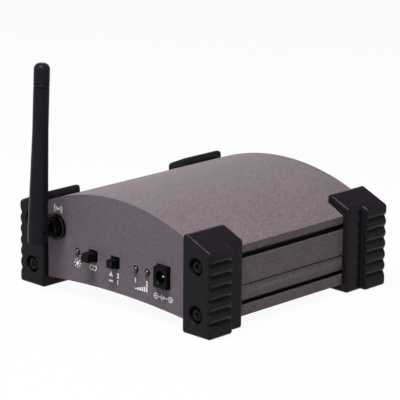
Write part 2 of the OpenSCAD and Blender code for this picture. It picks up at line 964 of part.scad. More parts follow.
module jack_washer(side) {
    color("silver") translate([side * jack_x, 0, jack_z]) difference() {
        hole_y(jack_nut_r + 0.6, panel_rear, panel_rear + jack_washer_t);
        hole_y(jack_bush_r + seat, panel_rear - over, panel_rear + jack_washer_t + over);
    }
}

module jack_nut(side) {
    start = panel_rear + jack_washer_t;
    color("silver") translate([side * jack_x, 0, jack_z]) difference() {
        intersection() {
            translate([0, start + jack_nut_t, 0]) rotate([90, 0, 0])
                cylinder(r = jack_nut_r / cos(30), h = jack_nut_t, $fn = 6);
            translate([0, start + jack_nut_t, 0]) rotate([90, 0, 0])
                cylinder(r1 = jack_nut_r, r2 = jack_nut_r + 3, h = 3);
        }
        hole_y(jack_bush_r + running, start - over, start + jack_nut_t + over);
    }
}

module input_jack_left() {
    input_jack(-1);
}

module input_jack_right() {
    input_jack(1);
}

module jack_washer_left() {
    jack_washer(-1);
}

module jack_washer_right() {
    jack_washer(1);
}

module jack_nut_left() {
    jack_nut(-1);
}

module jack_nut_right() {
    jack_nut(1);
}

module jack_contact_left() {
    jack_contact(-1);
}

module jack_contact_right() {
    jack_contact(1);
}

module main_board() {
    end_gap = 0.3;
    color("darkgreen") translate([-board_w / 2, shell_front + end_gap, board_bottom])
        cube([board_w, case_l - 2 * end_gap, board_t]);
}

module codec_chip() {
    color([0.1, 0.1, 0.1]) translate([2, -5, board_seat]) cube([10, 10, 1.4]);
}

module control_chip() {
    color([0.1, 0.1, 0.1]) translate([-16, -6, board_seat]) cube([9, 9, 1.2]);
}

module voltage_regulator() {
    color([0.1, 0.1, 0.1]) translate([regulator_x, -14, board_seat])
        cube([regulator_w, regulator_t, regulator_h]);
}

module crystal() {
    color("silver") translate([-12, 8, board_seat]) {
        translate([-3.2, -2.3, 0]) cube([6.4, 4.6, 3.6]);
        for (x = [-3.2, 3.2]) translate([x, 0, 0]) cylinder(r = 2.3, h = 3.6);
    }
}

// Filter capacitors in a row beside the regulator
module capacitor(i) {
    pitch = 2 * capacitor_r + 1.5;
    color("midnightblue") translate([capacitor_x, i * pitch - 2, board_seat])
        cylinder(r = capacitor_r, h = capacitor_h);
}

module capacitor_1() {
    capacitor(1);
}

module capacitor_2() {
    capacitor(2);
}

module capacitor_3() {
    capacitor(3);
}

module capacitor_4() {
    capacitor(4);
}

top_shell();
bottom_shell();
front_panel();
rear_panel();
bumper_front_right();
bumper_front_left();
bumper_rear_right();
bumper_rear_left();
front_bumper_screws();
rear_bumper_screws();
rf_socket();
rf_socket_insulator();
rf_socket_contact();
rf_lock_washer();
rf_dress_nut();
coupling_nut();
antenna_knuckle();
antenna_fold_pin();
antenna_sleeve();
antenna_cap();
antenna_radiator();
coax_pigtail();
radio_module();
radio_shield();
status_lamp();
status_lamp_holder();
peak_lamp_left();
peak_lamp_left_holder();
peak_lamp_right();
peak_lamp_right_holder();
pair_button();
pair_plunger();
pair_switch();
mode_button();
mode_plunger();
mode_switch();
inlet_housing();
inlet_pin();
inlet_spring();
input_jack_left();
input_jack_right();
jack_washer_left();
jack_washer_right();
jack_nut_left();
jack_nut_right();
jack_contact_left();
jack_contact_right();
main_board();
codec_chip();
control_chip();
voltage_regulator();
crystal();
capacitor_1();
capacitor_2();
capacitor_3();
capacitor_4();
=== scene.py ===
# %% [markdown]
# # A wireless transmitter for stage instruments
# A desk-top box about 134 mm wide: two aluminium extrusions meet in a seam along each
# side, four ribbed bumpers clamp a flat panel on each end, and the antenna swivels and
# folds. The solids and the joints are already made. This file gives them softened edges,
# the details of turned and moulded pieces, and a material for every surface. Sizes are
# millimetres in the file and metres in Blender.

import math
from contextlib import contextmanager

import bmesh
import bpy
from mathutils import Matrix, Vector


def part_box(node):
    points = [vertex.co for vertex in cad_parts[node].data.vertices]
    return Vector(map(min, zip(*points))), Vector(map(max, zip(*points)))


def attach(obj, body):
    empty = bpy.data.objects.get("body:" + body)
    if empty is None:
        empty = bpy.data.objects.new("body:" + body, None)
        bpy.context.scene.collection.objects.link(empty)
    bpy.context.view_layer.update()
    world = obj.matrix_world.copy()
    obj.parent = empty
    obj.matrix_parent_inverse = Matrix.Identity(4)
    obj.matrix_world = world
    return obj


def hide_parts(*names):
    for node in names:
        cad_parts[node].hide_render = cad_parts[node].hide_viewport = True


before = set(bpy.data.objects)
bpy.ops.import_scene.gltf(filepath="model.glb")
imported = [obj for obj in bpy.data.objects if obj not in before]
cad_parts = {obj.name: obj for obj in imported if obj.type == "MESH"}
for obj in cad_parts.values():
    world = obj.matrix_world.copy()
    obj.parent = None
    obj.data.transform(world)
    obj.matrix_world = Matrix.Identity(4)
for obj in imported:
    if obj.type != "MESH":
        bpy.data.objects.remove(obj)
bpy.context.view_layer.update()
MM = 0.001
print("solid nodes:", len(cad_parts))

# %% [markdown]
# ## Tools of the bench
# Every piece is made as by hand: a primitive is added at its size, edited with the mesh
# operators, and finished with modifiers that are applied. An operator acts on everything
# that is selected, so each helper first selects only what it is meant to change.


# %% Select, edit and pick
def only(*objects):
    """Selects these objects and nothing else; the first one becomes the active object."""
    bpy.ops.object.select_all(action="DESELECT")
    for obj in objects:
        obj.select_set(True)
    bpy.context.view_layer.objects.active = objects[0]


@contextmanager
def editing(obj, mode):
    """Edit mode on one object, in VERT, EDGE or FACE selection."""
    only(obj)
    bpy.ops.object.mode_set(mode="EDIT")
    bpy.ops.mesh.select_mode(type=mode)
    yield
    bpy.ops.object.mode_set(mode="OBJECT")


def pick_all():
    """In edit mode, selects the whole mesh."""
    bpy.ops.mesh.select_all(action="SELECT")


def middle(part):
    """Middle of a point, edge or face, in millimetres."""
    points = [part.co] if isinstance(part, bmesh.types.BMVert) else [v.co for v in part.verts]
    return sum(points, Vector()) / len(points) / MM


def pick(obj, wanted):
    """In edit mode, selects the points, edges or faces that wanted() says yes to."""
    bpy.ops.mesh.select_all(action="DESELECT")
    mesh = bmesh.from_edit_mesh(obj.data)
    points, edges, _ = bpy.context.tool_settings.mesh_select_mode
    parts = mesh.verts if points else mesh.edges if edges else mesh.faces
    chosen = [part for part in parts if wanted(part)]
    for part in chosen:
        part.select_set(True)
    bmesh.update_edit_mesh(obj.data)
    return len(chosen)


# %% Start a piece
def span(node):
    """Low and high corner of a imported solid, in millimetres."""
    return [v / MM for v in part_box(node)]


def bake(obj):
    """Puts the place, turn and size of an object into its mesh."""
    only(obj)
    bpy.ops.object.transform_apply(location=True, rotation=True, scale=True)
    return obj


def settle(name):
    """Names the active object and bakes it."""
    obj = bpy.context.object
    obj.name = obj.data.name = name
    return bake(obj)


def block(name, low, high):
    """A cube that fills the box from low to high."""
    low, high = Vector(low) * MM, Vector(high) * MM
    bpy.ops.mesh.primitive_cube_add(size=1, location=(low + high) / 2, scale=high - low)
    return settle(name)


def rod(name, r, start, end, sides=64):
    """A cylinder of radius r from start to end."""
    start, end = Vector(start) * MM, Vector(end) * MM
    along = end - start
    bpy.ops.mesh.primitive_cylinder_add(
        vertices=sides,
        radius=r * MM,
        depth=along.length,
        location=(start + end) / 2,
        rotation=along.to_track_quat("Z", "Y").to_euler(),
    )
    return settle(name)


def turned(name, profile, steps=72):
    """A piece turned on a lathe about Z: the profile is a list of (radius, height)."""
    first = Vector((profile[0][0], 0, profile[0][1])) * MM
    bpy.ops.mesh.primitive_plane_add(size=MM, location=first)
    obj = settle(name)
    with editing(obj, "VERT"):
        pick_all()
        bpy.ops.mesh.merge(type="CENTER")
        for (r0, z0), (r1, z1) in zip(profile, profile[1:]):
            step = (MM * (r1 - r0), 0, MM * (z1 - z0))
            bpy.ops.mesh.extrude_vertices_move(TRANSFORM_OT_translate={"value": step})
        pick_all()
        bpy.ops.mesh.spin(steps=steps, angle=math.tau, center=(0, 0, 0), axis=(0, 0, 1))
        pick_all()
        bpy.ops.mesh.remove_doubles(threshold=1e-6)
        bpy.ops.mesh.normals_make_consistent(inside=False)
    return obj


def rounded_end(r, top, bend):
    """Profile points of a turned piece of radius r from where its end bends to its top."""
    turns = [i * math.pi / 16 for i in range(9)]
    points = [(r - bend * (1 - math.cos(a)), top - bend * (1 - math.sin(a))) for a in turns]
    if bend == r:
        points.pop()
    return [*points, (0, top)]


def two_ended(lower, total):
    """A profile whose upper end mirrors the lower one at half the total height."""
    return [*lower, *((r, total - z) for r, z in reversed(lower))]


def copy_of(node, name):
    """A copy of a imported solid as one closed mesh, with its flat faces whole again."""
    obj = bpy.data.objects.new(name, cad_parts[node].data.copy())
    bpy.context.scene.collection.objects.link(obj)
    only(obj)
    bpy.ops.mesh.customdata_custom_splitnormals_clear()
    with editing(obj, "VERT"):
        pick_all()
        bpy.ops.mesh.remove_doubles(threshold=2e-6)
        bpy.ops.mesh.dissolve_limited(angle_limit=math.radians(0.4))
    return obj


# %% Shape and finish a piece
def use(obj, kind, **settings):
    """Adds a modifier, gives it its settings and applies it."""
    modifier = obj.modifiers.new(kind.lower(), kind)
    for key, value in settings.items():
        setattr(modifier, key, value)
    only(obj)
    bpy.ops.object.modifier_apply(modifier=modifier.name)


def combine(obj, tool, operation="DIFFERENCE"):
    """Cuts the tool out of obj, or joins the two; the tool is used up."""
    use(obj, "BOOLEAN", object=tool, operation=operation, solver="EXACT")
    bpy.data.objects.remove(tool)


def soften(obj, r, segments=2, angle=35):
    """Rounds every edge that turns by more than the angle, to radius r."""
    limit = {"limit_method": "ANGLE", "angle_limit": math.radians(angle)}
    use(obj, "BEVEL", width=r * MM, segments=segments, **limit)


def put(obj, place, turn=(0, 0, 0)):
    """Turns a piece about the origin, in degrees, and moves it to its place."""
    obj.rotation_euler = [math.radians(a) for a in turn]
    obj.location = Vector(place) * MM
    return bake(obj)


def lay(obj, axis, y):
    """Lays a piece that stands at the origin on an axis along Y, from y towards the front."""
    return put(obj, (axis.x, y, axis.z), (90, 0, 0))


def twin(obj, name, flip=(1, 1, 1)):
    """A copy with its own mesh, mirrored on the axes where flip is -1."""
    copy = bpy.data.objects.new(name, obj.data.copy())
    bpy.context.scene.collection.objects.link(copy)
    copy.scale = flip
    with editing(bake(copy), "FACE"):
        pick_all()
        bpy.ops.mesh.normals_make_consistent(inside=False)
    return copy


def fit(obj, body, finish, slot, *nodes):
    """Shades a finished piece so that flat faces stay flat, gives it its material and body."""
    only(obj)
    bpy.ops.object.shade_smooth_by_angle(angle=math.radians(30))
    use(obj, "WEIGHTED_NORMAL", keep_sharp=True)
    obj.data.materials.clear()
    obj.data.materials.append(finish)
    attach(obj, body)
    if nodes:
        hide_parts(*nodes)
    print(obj.name, "on", body, "-", len(obj.data.polygons), "faces")
    return obj


# %% [markdown]
# ## Camera, floor and light
# A long lens from a little above the front right corner shows the front panel, the roof
# and one side, and keeps the edges almost parallel. Floor and world look white to the
# camera and to glossy surfaces, but light the object only a little. A wide softbox overhead
# does most of that, a small one beside it marks the edges of the black mouldings, and a
# weak one in front lifts the front panel.

# %% Camera
LENS = 203.02
CAMERA_PLACE = (0.7609, -0.7864, 0.3433)
CAMERA_TURN = math.radians(44.145)
CAMERA_TILT = math.radians(-15.329)
CAMERA_ROLL = math.radians(0.57)

bpy.ops.object.camera_add(location=CAMERA_PLACE)
camera = bpy.context.object
camera.name = "camera"
camera.data.lens = LENS
camera.data.sensor_width = 36
camera.data.clip_start, camera.data.clip_end = 0.05, 50
camera.rotation_mode = "QUATERNION"
camera.rotation_quaternion = (
    Matrix.Rotation(CAMERA_TURN, 3, "Z")
    @ Matrix.Rotation(math.pi / 2 + CAMERA_TILT, 3, "X")
    @ Matrix.Rotation(CAMERA_ROLL, 3, "Z")
).to_quaternion()
bpy.context.scene.camera = camera
bpy.context.scene.view_settings.view_transform = "Standard"
print("distance to the object, m:", round(camera.location.length, 3))


# %% Nodes and colours
def add(tree, kind, values=()):
    """Adds one node and gives its outputs. Each value goes to the input or the property of
    that key, and an output of another node is linked there."""
    node = tree.nodes.new("ShaderNode" + kind)
    for key, value in dict(values).items():
        if isinstance(value, bpy.types.NodeSocket):
            tree.links.new(value, node.inputs[key])
        elif isinstance(key, int) or key in node.inputs:
            node.inputs[key].default_value = value
        else:
            setattr(node, key, value)
    return node.outputs


def linear(code):
    """An sRGB hex colour as the linear values that a shader works with."""
    parts = [int(code[i : i + 2], 16) / 255 for i in (1, 3, 5)]
    return (*(p / 12.92 if p <= 0.04045 else ((p + 0.055) / 1.055) ** 2.4 for p in parts), 1)


def background_ray(tree):
    """1 for the rays that may see the white backdrop: camera, glossy and transmission."""
    rays = add(tree, "LightPath")
    seen = rays["Is Camera Ray"]
    for kind in ("Is Glossy Ray", "Is Transmission Ray"):
        seen = add(tree, "Math", {"operation": "MAXIMUM", 0: seen, 1: rays[kind]})[0]
    return seen


# %% Floor
BACKDROP = "#fdfdfd"  # what the camera sees behind the object
FLOOR_SHOWS = 0.96  # share of the floor that is plain backdrop white; the rest takes shadow
PAPER_LIT, PAPER_SEEN = "#9c9c9c", "#f4f4f4"  # as it lights the object, and as it is seen

bpy.ops.mesh.primitive_plane_add(size=8, location=(0, 0, -0.0002))
floor = bpy.context.object
floor.name = "floor"
floor_paper = bpy.data.materials.new("backdrop_paper")
floor_paper.use_nodes = True
tree = floor_paper.node_tree
tree.nodes.clear()
seen = background_ray(tree)
values = {0: seen, 6: linear(PAPER_LIT), 7: linear(PAPER_SEEN)}
shade = add(tree, "Mix", {"data_type": "RGBA", **values})[2]
paper = add(tree, "BsdfDiffuse", {"Color": shade})[0]
backdrop = add(tree, "Emission", {"Color": linear(BACKDROP), "Strength": 1.0})[0]
share = add(tree, "Math", {"operation": "MULTIPLY", 0: seen, 1: FLOOR_SHOWS})[0]
mixed = add(tree, "MixShader", {0: share, 1: paper, 2: backdrop})[0]
add(tree, "OutputMaterial", {"Surface": mixed})
floor.data.materials.append(floor_paper)

# %% World
WORLD_LIGHT = 0.115  # how bright the backdrop is for the light that it sheds on the object
CEILING = 0.06  # brightness of the studio's dark ceiling
CEILING_FROM, CEILING_TO = 0.30, 0.62  # height over the horizon where the backdrop ends

world = bpy.data.worlds.new("studio")
bpy.context.scene.world = world
world.use_nodes = True
tree = world.node_tree
tree.nodes.clear()
direction = add(tree, "TexCoord")["Generated"]
height = add(tree, "SeparateXYZ", {0: direction})["Z"]
fade = {"From Min": CEILING_FROM, "From Max": CEILING_TO, "To Min": 1, "To Max": CEILING}
wall_part = add(tree, "MapRange", {"Value": height, **fade})[0]
share = {"To Min": WORLD_LIGHT, "To Max": 1}
seen = add(tree, "MapRange", {"Value": background_ray(tree), **share})[0]
strength = add(tree, "Math", {"operation": "MULTIPLY", 0: wall_part, 1: seen})[0]
room = add(tree, "Background", {"Color": linear(BACKDROP), "Strength": strength})[0]
add(tree, "OutputWorld", {"Surface": room})

# %% Softboxes
OBJECT_MIDDLE = Vector((0, 0, 0.03))


def softbox(name, place, size, power):
    """A square area light that faces the middle of the object."""
    bpy.ops.object.light_add(type="AREA", location=place)
    light = bpy.context.object
    light.name = name
    light.data.size = size
    light.data.energy = power
    aim = OBJECT_MIDDLE - Vector(place)
    light.rotation_euler = aim.to_track_quat("-Z", "Y").to_euler()
    return light


softbox("overhead_softbox", (0.12, -0.33, 0.95), 0.36, 12.4)
softbox("edge_softbox", (-0.11, -0.50, 0.93), 0.11, 2.4)  # draws a highlight on each cap
softbox("front_softbox", (0.62, -0.61, 0.70), 0.3, 2.0)

# %% [markdown]
# ## Finishes
# Each finish starts from what the real surface is and how it was made. A grain texture
# on Object coordinates varies the tone and the roughness and gives a low relief; a much
# larger one adds the faint smudges of handling. Grains finer than about 0.4 mm would not
# show, so they are drawn a little coarser.


# %% A general grained finish
GRAIN = {"Detail": 3, "Roughness": 0.6}  # noise for the texture of a surface
CLOUDS = {"Detail": 2, "Roughness": 0.6}  # softer noise for what changes slowly
MIDDLE = {"From Min": 0.3, "From Max": 0.7}  # the useful middle of a noise
SMUDGE, SMUDGE_SHARE = 14, 0.35  # how wide smudges are, in mm, and how much they tell
UNEVEN = 0.06  # how far the roughness goes up and down


def sized(size, place):
    """Puts a pattern on that place, with features about size millimetres across."""
    return {"Scale": 1 / (size * MM), "Vector": place}


def opened(name):
    """A new material with no nodes in its tree but the Object coordinates."""
    finish = bpy.data.materials.new(name)
    finish.use_nodes = True
    finish.node_tree.nodes.clear()
    return finish, finish.node_tree, add(finish.node_tree, "TexCoord")["Object"]


def tones(tree, level, dark, light):
    """Goes from the dark hex colour to the light one over the middle of a noise."""
    share = add(tree, "MapRange", {"Value": level, **MIDDLE})[0]
    ends = {6: linear(dark), 7: linear(light)}
    return add(tree, "Mix", {"data_type": "RGBA", 0: share, **ends})[2]


def closed(tree, level, low, high, values):
    """Ends a material's tree with its shader, whose roughness follows a noise."""
    between = {**MIDDLE, "To Min": low, "To Max": high}
    rough = add(tree, "MapRange", {"Value": level, **between})[0]
    shader = add(tree, "BsdfPrincipled", {"Roughness": rough, **values})[0]
    add(tree, "OutputMaterial", {"Surface": shader})


def grained(
    name, dark, light, grain, rough, relief=0.01, stretch=(1, 1, 1), metallic=0.0, specular=0.5
):
    """Two tones in a grain of that size, in mm, with its roughness and relief in mm."""
    finish, tree, place = opened(name)
    drawn = add(tree, "Mapping", {"Scale": stretch, "Vector": place})[0]
    fine = add(tree, "TexNoise", {**GRAIN, **sized(grain, drawn)})[0]
    wide = add(tree, "TexNoise", {**CLOUDS, **sized(SMUDGE, place)})[0]
    both = add(tree, "Math", {"operation": "MULTIPLY_ADD", 0: wide, 1: SMUDGE_SHARE, 2: fine})[0]
    level = add(tree, "Math", {"operation": "SUBTRACT", 0: both, 1: SMUDGE_SHARE / 2})[0]
    values = {
        "Base Color": tones(tree, level, dark, light),
        "Metallic": metallic,
        "Specular IOR Level": specular,
        "Normal": add(tree, "Bump", {"Distance": relief * MM, "Height": fine})[0],
    }
    closed(tree, level, rough - UNEVEN, rough + UNEVEN, values)
    return finish


# %% [markdown]
# ### Coated aluminium
# The extrusions and the end panels carry a warm grey powder coat with metal flake. Under
# a soft lamp it shows a fine glitter and a gentle change of tone, and no mirror image.
# Flakes are about 0.05 mm across; they are drawn at 0.5 mm, so that the glitter shows.


# %% Metallic powder coat
FLAKE = 0.5  # width of a flake, mm
FLAKE_SHARE = 0.4  # how much of the tone is a flake's own
DRIFT, DRIFT_SHARE, DRIFT_FROM = 30, 0.16, 0.22  # the slow change of tone over the piece
PEEL = 1.6  # width of the coat's faint orange peel, mm
PEEL_DEEP, FLAKE_DEEP = 0.012, 0.01  # relief of the peel, and how far a flake tilts, mm
SLOTS_MIDDLE, SLOTS_AWAY, SLOT_HALF = 22, 12, 3  # heights of the slots in the side walls
SLOT_EDGE, SLOT_BOTTOM = 0.3, 1.0  # depths in the wall where the painted shade starts and where it is full


def slot_shade_mask(tree, place):
    """Where the slots' shade is painted: 1 at the bottom of the two slots of a side wall, 0 on
    every outer face.
    """
    part = add(tree, "SeparateXYZ", {0: place})
    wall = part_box("top_shell")[1].x
    aside = add(tree, "Math", {"operation": "ABSOLUTE", 0: part["X"]})[0]
    depths = {"From Min": wall - SLOT_EDGE * MM, "From Max": wall - SLOT_BOTTOM * MM}
    deep = add(tree, "MapRange", {"Value": aside, **depths})[0]
    rise = add(tree, "Math", {"operation": "SUBTRACT", 0: part["Z"], 1: SLOTS_MIDDLE * MM})[0]
    away = add(tree, "Math", {"operation": "ABSOLUTE", 0: rise})[0]
    values = {0: away, 1: SLOTS_AWAY * MM, 2: SLOT_HALF * MM}
    band = add(tree, "Math", {"operation": "COMPARE", **values})[0]
    return add(tree, "Math", {"operation": "MULTIPLY", 0: deep, 1: band})[0]


def flake_coat(name, dark, light, rough, painted_slot_shade=None):
    """Powder coat with metal flake: each flake has its own tone and its own tilt."""
    finish, tree, place = opened(name)
    flakes = add(tree, "TexVoronoi", sized(FLAKE, place))["Color"]
    own = add(tree, "SeparateColor", {0: flakes})[0]
    wide = add(tree, "TexNoise", {**CLOUDS, **sized(DRIFT, place)})[0]
    values = {0: wide, 1: DRIFT_SHARE, 2: DRIFT_FROM}
    drift = add(tree, "Math", {"operation": "MULTIPLY_ADD", **values})[0]
    level = add(tree, "Math", {"operation": "MULTIPLY_ADD", 0: own, 1: FLAKE_SHARE, 2: drift})[0]
    coat = tones(tree, level, dark, light)
    # painted shade: the coat turns to a darker colour at the bottom of the slots
    if painted_slot_shade:
        values = {0: slot_shade_mask(tree, place), 6: coat, 7: linear(painted_slot_shade)}
        coat = add(tree, "Mix", {"data_type": "RGBA", **values})[2]
    skin = add(tree, "TexNoise", {**CLOUDS, **sized(PEEL, place)})[0]
    peel = add(tree, "Bump", {"Distance": PEEL_DEEP * MM, "Height": skin})[0]
    tilt = add(tree, "Bump", {"Distance": FLAKE_DEEP * MM, "Height": own, "Normal": peel})[0]
    values = {"Base Color": coat, "Metallic": 0.05, "Specular IOR Level": 0.08, "Normal": tilt}
    closed(tree, wide, rough - UNEVEN / 2, rough + UNEVEN / 2, values)
    return finish


# The bottom of each slot in the side walls is painted a darker colour, as painted shade.
shell_coat = flake_coat("metallic_powder_coat", "#5d5458", "#7b7074", 0.44, painted_slot_shade="#2e292e")
panel_coat = flake_coat("metallic_powder_coat_panel", "#645a62", "#776b74", 0.48)

# %% [markdown]
# ### Moulded and turned parts
# The bumpers are black ABS from a finely eroded mould, smooth enough for a lamp to draw a
# thin bright line on an edge. The antenna is a soft thermoplastic rubber, a little more
# satin. All black plastics have a low specular level, because the white room that they
# reflect would else turn them grey. Metals keep the default IOR and get their look from
# tone and roughness.

# %% Plastics and rubbers
bumper_abs = grained(
    "moulded_black_abs", "#1b171c", "#211d22", 0.45, 0.18, relief=0.004, specular=0.07
)
antenna_skin = grained(
    "antenna_tpe_rubber", "#1c191e", "#221f24", 0.7, 0.24, relief=0.006, specular=0.05
)
# Caps and knuckle are ABS from a satin mould: almost black, with a wide soft sheen.
key_plastic = grained("satin_moulded_abs", "#0c0a0c", "#121012", 0.5, 0.28, specular=0.06)
# The inlet is polished: the blackest part, with small sharp lights.
inlet_plastic = grained(
    "glossy_black_pbt", "#080708", "#0e0c0e", 0.6, 0.22, relief=0.008, specular=0.07
)
# Glass fibres lie along the flow and make moulded nylon dull and a little streaky.
jack_nylon = grained(
    "glass_filled_nylon", "#161618", "#222225", 0.5, 0.5, relief=0.02, stretch=(1, 0.3, 1)
)
# Acetal looks waxy, turned PTFE milky with faint tool lines, extruded PVC evenly matt.
ivory_acetal = grained("ivory_acetal", "#d8cfb4", "#e6dec8", 0.8, 0.35)
white_ptfe = grained("turned_ptfe", "#e2e0d9", "#efeee9", 0.6, 0.4, stretch=(1, 6, 1))
cable_jacket = grained("pvc_cable_jacket", "#161616", "#242424", 0.6, 0.45, stretch=(3, 1, 1))
# Chip resin is dull with a fine grit, screen ink flat and even.
chip_resin = grained("moulded_chip_resin", "#1c1c1e", "#2b2b2e", 0.4, 0.6)
panel_ink = grained("white_screen_ink", "#f4f3f4", "#fcfbfc", 0.5, 0.55)

# %% Metals
# Oxide is a thin dark skin on the steel: nearly black, with a dull metal glint.
black_oxide = grained("black_oxide_steel", "#161517", "#1f1e20", 0.5, 0.24, metallic=1.0)
# Black nickel is a shade lighter than the oxide, bright nickel pale and slightly warm.
black_nickel = grained(
    "black_nickel_brass", "#1e1d20", "#2c2b2e", 0.5, 0.26, relief=0.008, metallic=1.0
)
bright_nickel = grained(
    "bright_nickel_plate", "#b9b6b0", "#cfccc6", 0.7, 0.24, relief=0.006, metallic=1.0
)
# Gold stays rich and clean, bare brass is duller, with fine lines from the drawing die.
gold_plate = grained("gold_plated_brass", "#cfa552", "#e2bb6a", 0.7, 0.22, metallic=1.0)
drawn_brass = grained(
    "drawn_brass", "#b08d45", "#c8a45a", 0.6, 0.3, stretch=(1, 1, 0.1), metallic=1.0
)

# %% [markdown]
# ### Circuit board and capacitors
# The board is laminate under green solder mask: where copper runs below, the mask looks
# lighter. The capacitors wear a blue shrink sleeve with a pale stripe for the negative
# lead.


# %% Board and sleeve
BRICK = 9  # length unit of the tracks, mm
STRIPE_FROM = 2.72  # where the stripe's edge is, in radians from +X


def masked_board(name):
    """Green solder mask with lighter lanes where copper tracks run under it."""
    finish, tree, place = opened(name)
    values = {
        "Color1": linear("#1d6a38"),
        "Color2": linear("#217340"),
        "Mortar": linear("#12502a"),
        "Mortar Size": 0.035,
        "Brick Width": 1.6,
        "Row Height": 0.14,
    }
    lanes = add(tree, "TexBrick", {**sized(BRICK, place), **values})
    fine = add(tree, "TexNoise", {**GRAIN, **sized(0.8, place)})[0]
    relief = add(tree, "Bump", {"Distance": 0.03 * MM, "Height": lanes["Fac"]})[0]
    closed(tree, fine, 0.3, 0.42, {"Base Color": lanes["Color"], "Normal": relief})
    return finish


def striped_sleeve(name, centre):
    """Blue shrink sleeve with a pale stripe down the side that faces -X."""
    finish, tree, place = opened(name)
    shift = [-centre.x * MM, -centre.y * MM, 0]
    can = add(tree, "Mapping", {"Location": shift, "Vector": place})[0]
    part = add(tree, "SeparateXYZ", {0: can})
    turn = add(tree, "Math", {"operation": "ARCTAN2", 0: part["Y"], 1: part["X"]})[0]
    turn = add(tree, "Math", {"operation": "ABSOLUTE", 0: turn})[0]
    edge = {"From Min": STRIPE_FROM, "From Max": STRIPE_FROM + 0.04}
    stripe = add(tree, "MapRange", {"Value": turn, **edge})[0]
    fine = add(tree, "TexNoise", {**GRAIN, **sized(0.7, place)})[0]
    values = {0: stripe, 6: tones(tree, fine, "#141c40", "#1c2752"), 7: linear("#b9bcc4")}
    colour = add(tree, "Mix", {"data_type": "RGBA", **values})[2]
    closed(tree, fine, 0.25, 0.36, {"Base Color": colour})
    return finish


board_mask = masked_board("green_solder_mask")

# %% [markdown]
# ## The corner bumpers
# A bumper is one moulding: a narrow flange that grips the side wall, a thicker block with
# round grip ribs in front of it, and a sloping cap that follows the roof. One box whose
# front half is extruded sideways keeps the mesh whole, so that one bevel also rounds the
# inner corner where block and flange meet; a weight gives each edge a radius of its own.
# The rounded block is then cut into thin layers, and the outer points of each layer move
# in by the depth of the scallops there, which keeps the rounding at the ends of the ribs.

# %% Sizes of a bumper
corner_low, corner_high = span("bumper_front_right")
BUMPER_IN, BUMPER_OUT = corner_low.x, corner_high.x
BUMPER_FRONT, BUMPER_BACK = corner_low.y, corner_high.y
HALF_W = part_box("top_shell")[1].x / MM
ROOF_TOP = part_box("top_shell")[1].z / MM
FLOOR_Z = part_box("bottom_shell")[0].z / MM
ROOF_RISE, UNDER_RISE = 15.6, 4.0
ROOF_R = (HALF_W**2 + ROOF_RISE**2) / (2 * ROOF_RISE)
UNDER_R = (HALF_W**2 + UNDER_RISE**2) / (2 * UNDER_RISE)
FLANGE_OUT = HALF_W + 3.7
BLOCK_BACK = BUMPER_FRONT + 15.6
BLOCK_TOP = 54  # of the raw block, before the slope of the cap is cut
COVER_T = 4.9  # thickness of the cap over the roof
CAP_SLOPE = math.asin(BUMPER_IN / ROOF_R)
CAP_HEIGHT = ROOF_TOP - ROOF_R + math.sqrt(ROOF_R**2 - BUMPER_IN**2) + COVER_T
RIB_START, RIB_PITCH, RIB_DEEP, RIBS = 4.4, 5.8, 1.3, 6
RIB_LAYERS = 12  # in each pitch
CORNER_R, CREST_R = 1.5, 2.5  # most edges, and the long edges of the cap
INNER_FRONT_R, INNER_BACK_R = 1.0, 2.0  # the upright edges beside the end panel and behind
STEP_R = 0.6  # the upright edges where block and flange meet
WIDEST = 4.0  # the widest bevel of the moulding
HEAD_R, HEAD_H = 3.2, 1.8
screws_low, screws_high = span("front_bumper_screws")
SCREW_X = screws_high.x - HEAD_R
SCREW_HEIGHTS = (screws_low.z + HEAD_R, screws_high.z - HEAD_R)
WELL_R, WELL_DEEP = 4.4, 2.2
print("bumper, mm:", [round(v, 1) for v in corner_high - corner_low])


# %% Block, flange and cap
def rib_depth(z):
    """How deep the scallops of the grip lie at a height: round crests and sharp valleys."""
    turn = (z - RIB_START) / RIB_PITCH
    away = abs(turn % 1 - 0.5)  # 0 in a valley, 0.5 on a crest
    return RIB_DEEP * (1 - math.sin(math.pi * away)) if 0 < turn < RIBS else 0


def rounding(edge):
    """The width of bevel that rounds this edge of the bumper to its own radius."""
    place = middle(edge)
    ends = edge.verts[1].co - edge.verts[0].co
    upright = abs(ends.z) > 20 * MM
    inner = place.x < BUMPER_IN + 0.1
    crest = abs(ends.y) > 5 * MM and place.z > 30
    if upright and inner:
        r = INNER_FRONT_R if place.y < BLOCK_BACK else INNER_BACK_R
    elif upright and abs(place.y - BLOCK_BACK) < 0.1:
        r = STEP_R
    else:
        r = CREST_R if crest else CORNER_R
    return r * math.tan(edge.calc_face_angle(0) / 2)


def slice_at(place, normal, **settings):
    """In edit mode, cuts the whole mesh along a plane."""
    pick_all()
    bpy.ops.mesh.bisect(plane_co=Vector(place) * MM, plane_no=normal, **settings)


raw_low = (BUMPER_IN, BUMPER_FRONT, 0)
bumper = block("bumper_front_right_moulding", raw_low, (FLANGE_OUT, BUMPER_BACK, BLOCK_TOP))
with editing(bumper, "FACE"):
    slice_at((0, BLOCK_BACK, 0), (0, 1, 0))
    pick(bumper, lambda f: f.normal.x > 0.9 and middle(f).y < BLOCK_BACK)
    out = ((BUMPER_OUT - FLANGE_OUT) * MM, 0, 0)
    bpy.ops.mesh.extrude_region_move(TRANSFORM_OT_translate={"value": out})
    cap_normal = (math.sin(CAP_SLOPE), 0, math.cos(CAP_SLOPE))
    slice_at((BUMPER_IN, 0, CAP_HEIGHT), cap_normal, clear_outer=True, use_fill=True)
print("block and flange:", len(bumper.data.polygons), "faces")
with editing(bumper, "EDGE"):
    mesh = bmesh.from_edit_mesh(bumper.data)
    weight = mesh.edges.layers.float.new("bevel_weight_edge")
    for edge in mesh.edges:
        edge[weight] = rounding(edge) / WIDEST
use(bumper, "BEVEL", width=WIDEST * MM, segments=5, limit_method="WEIGHT")

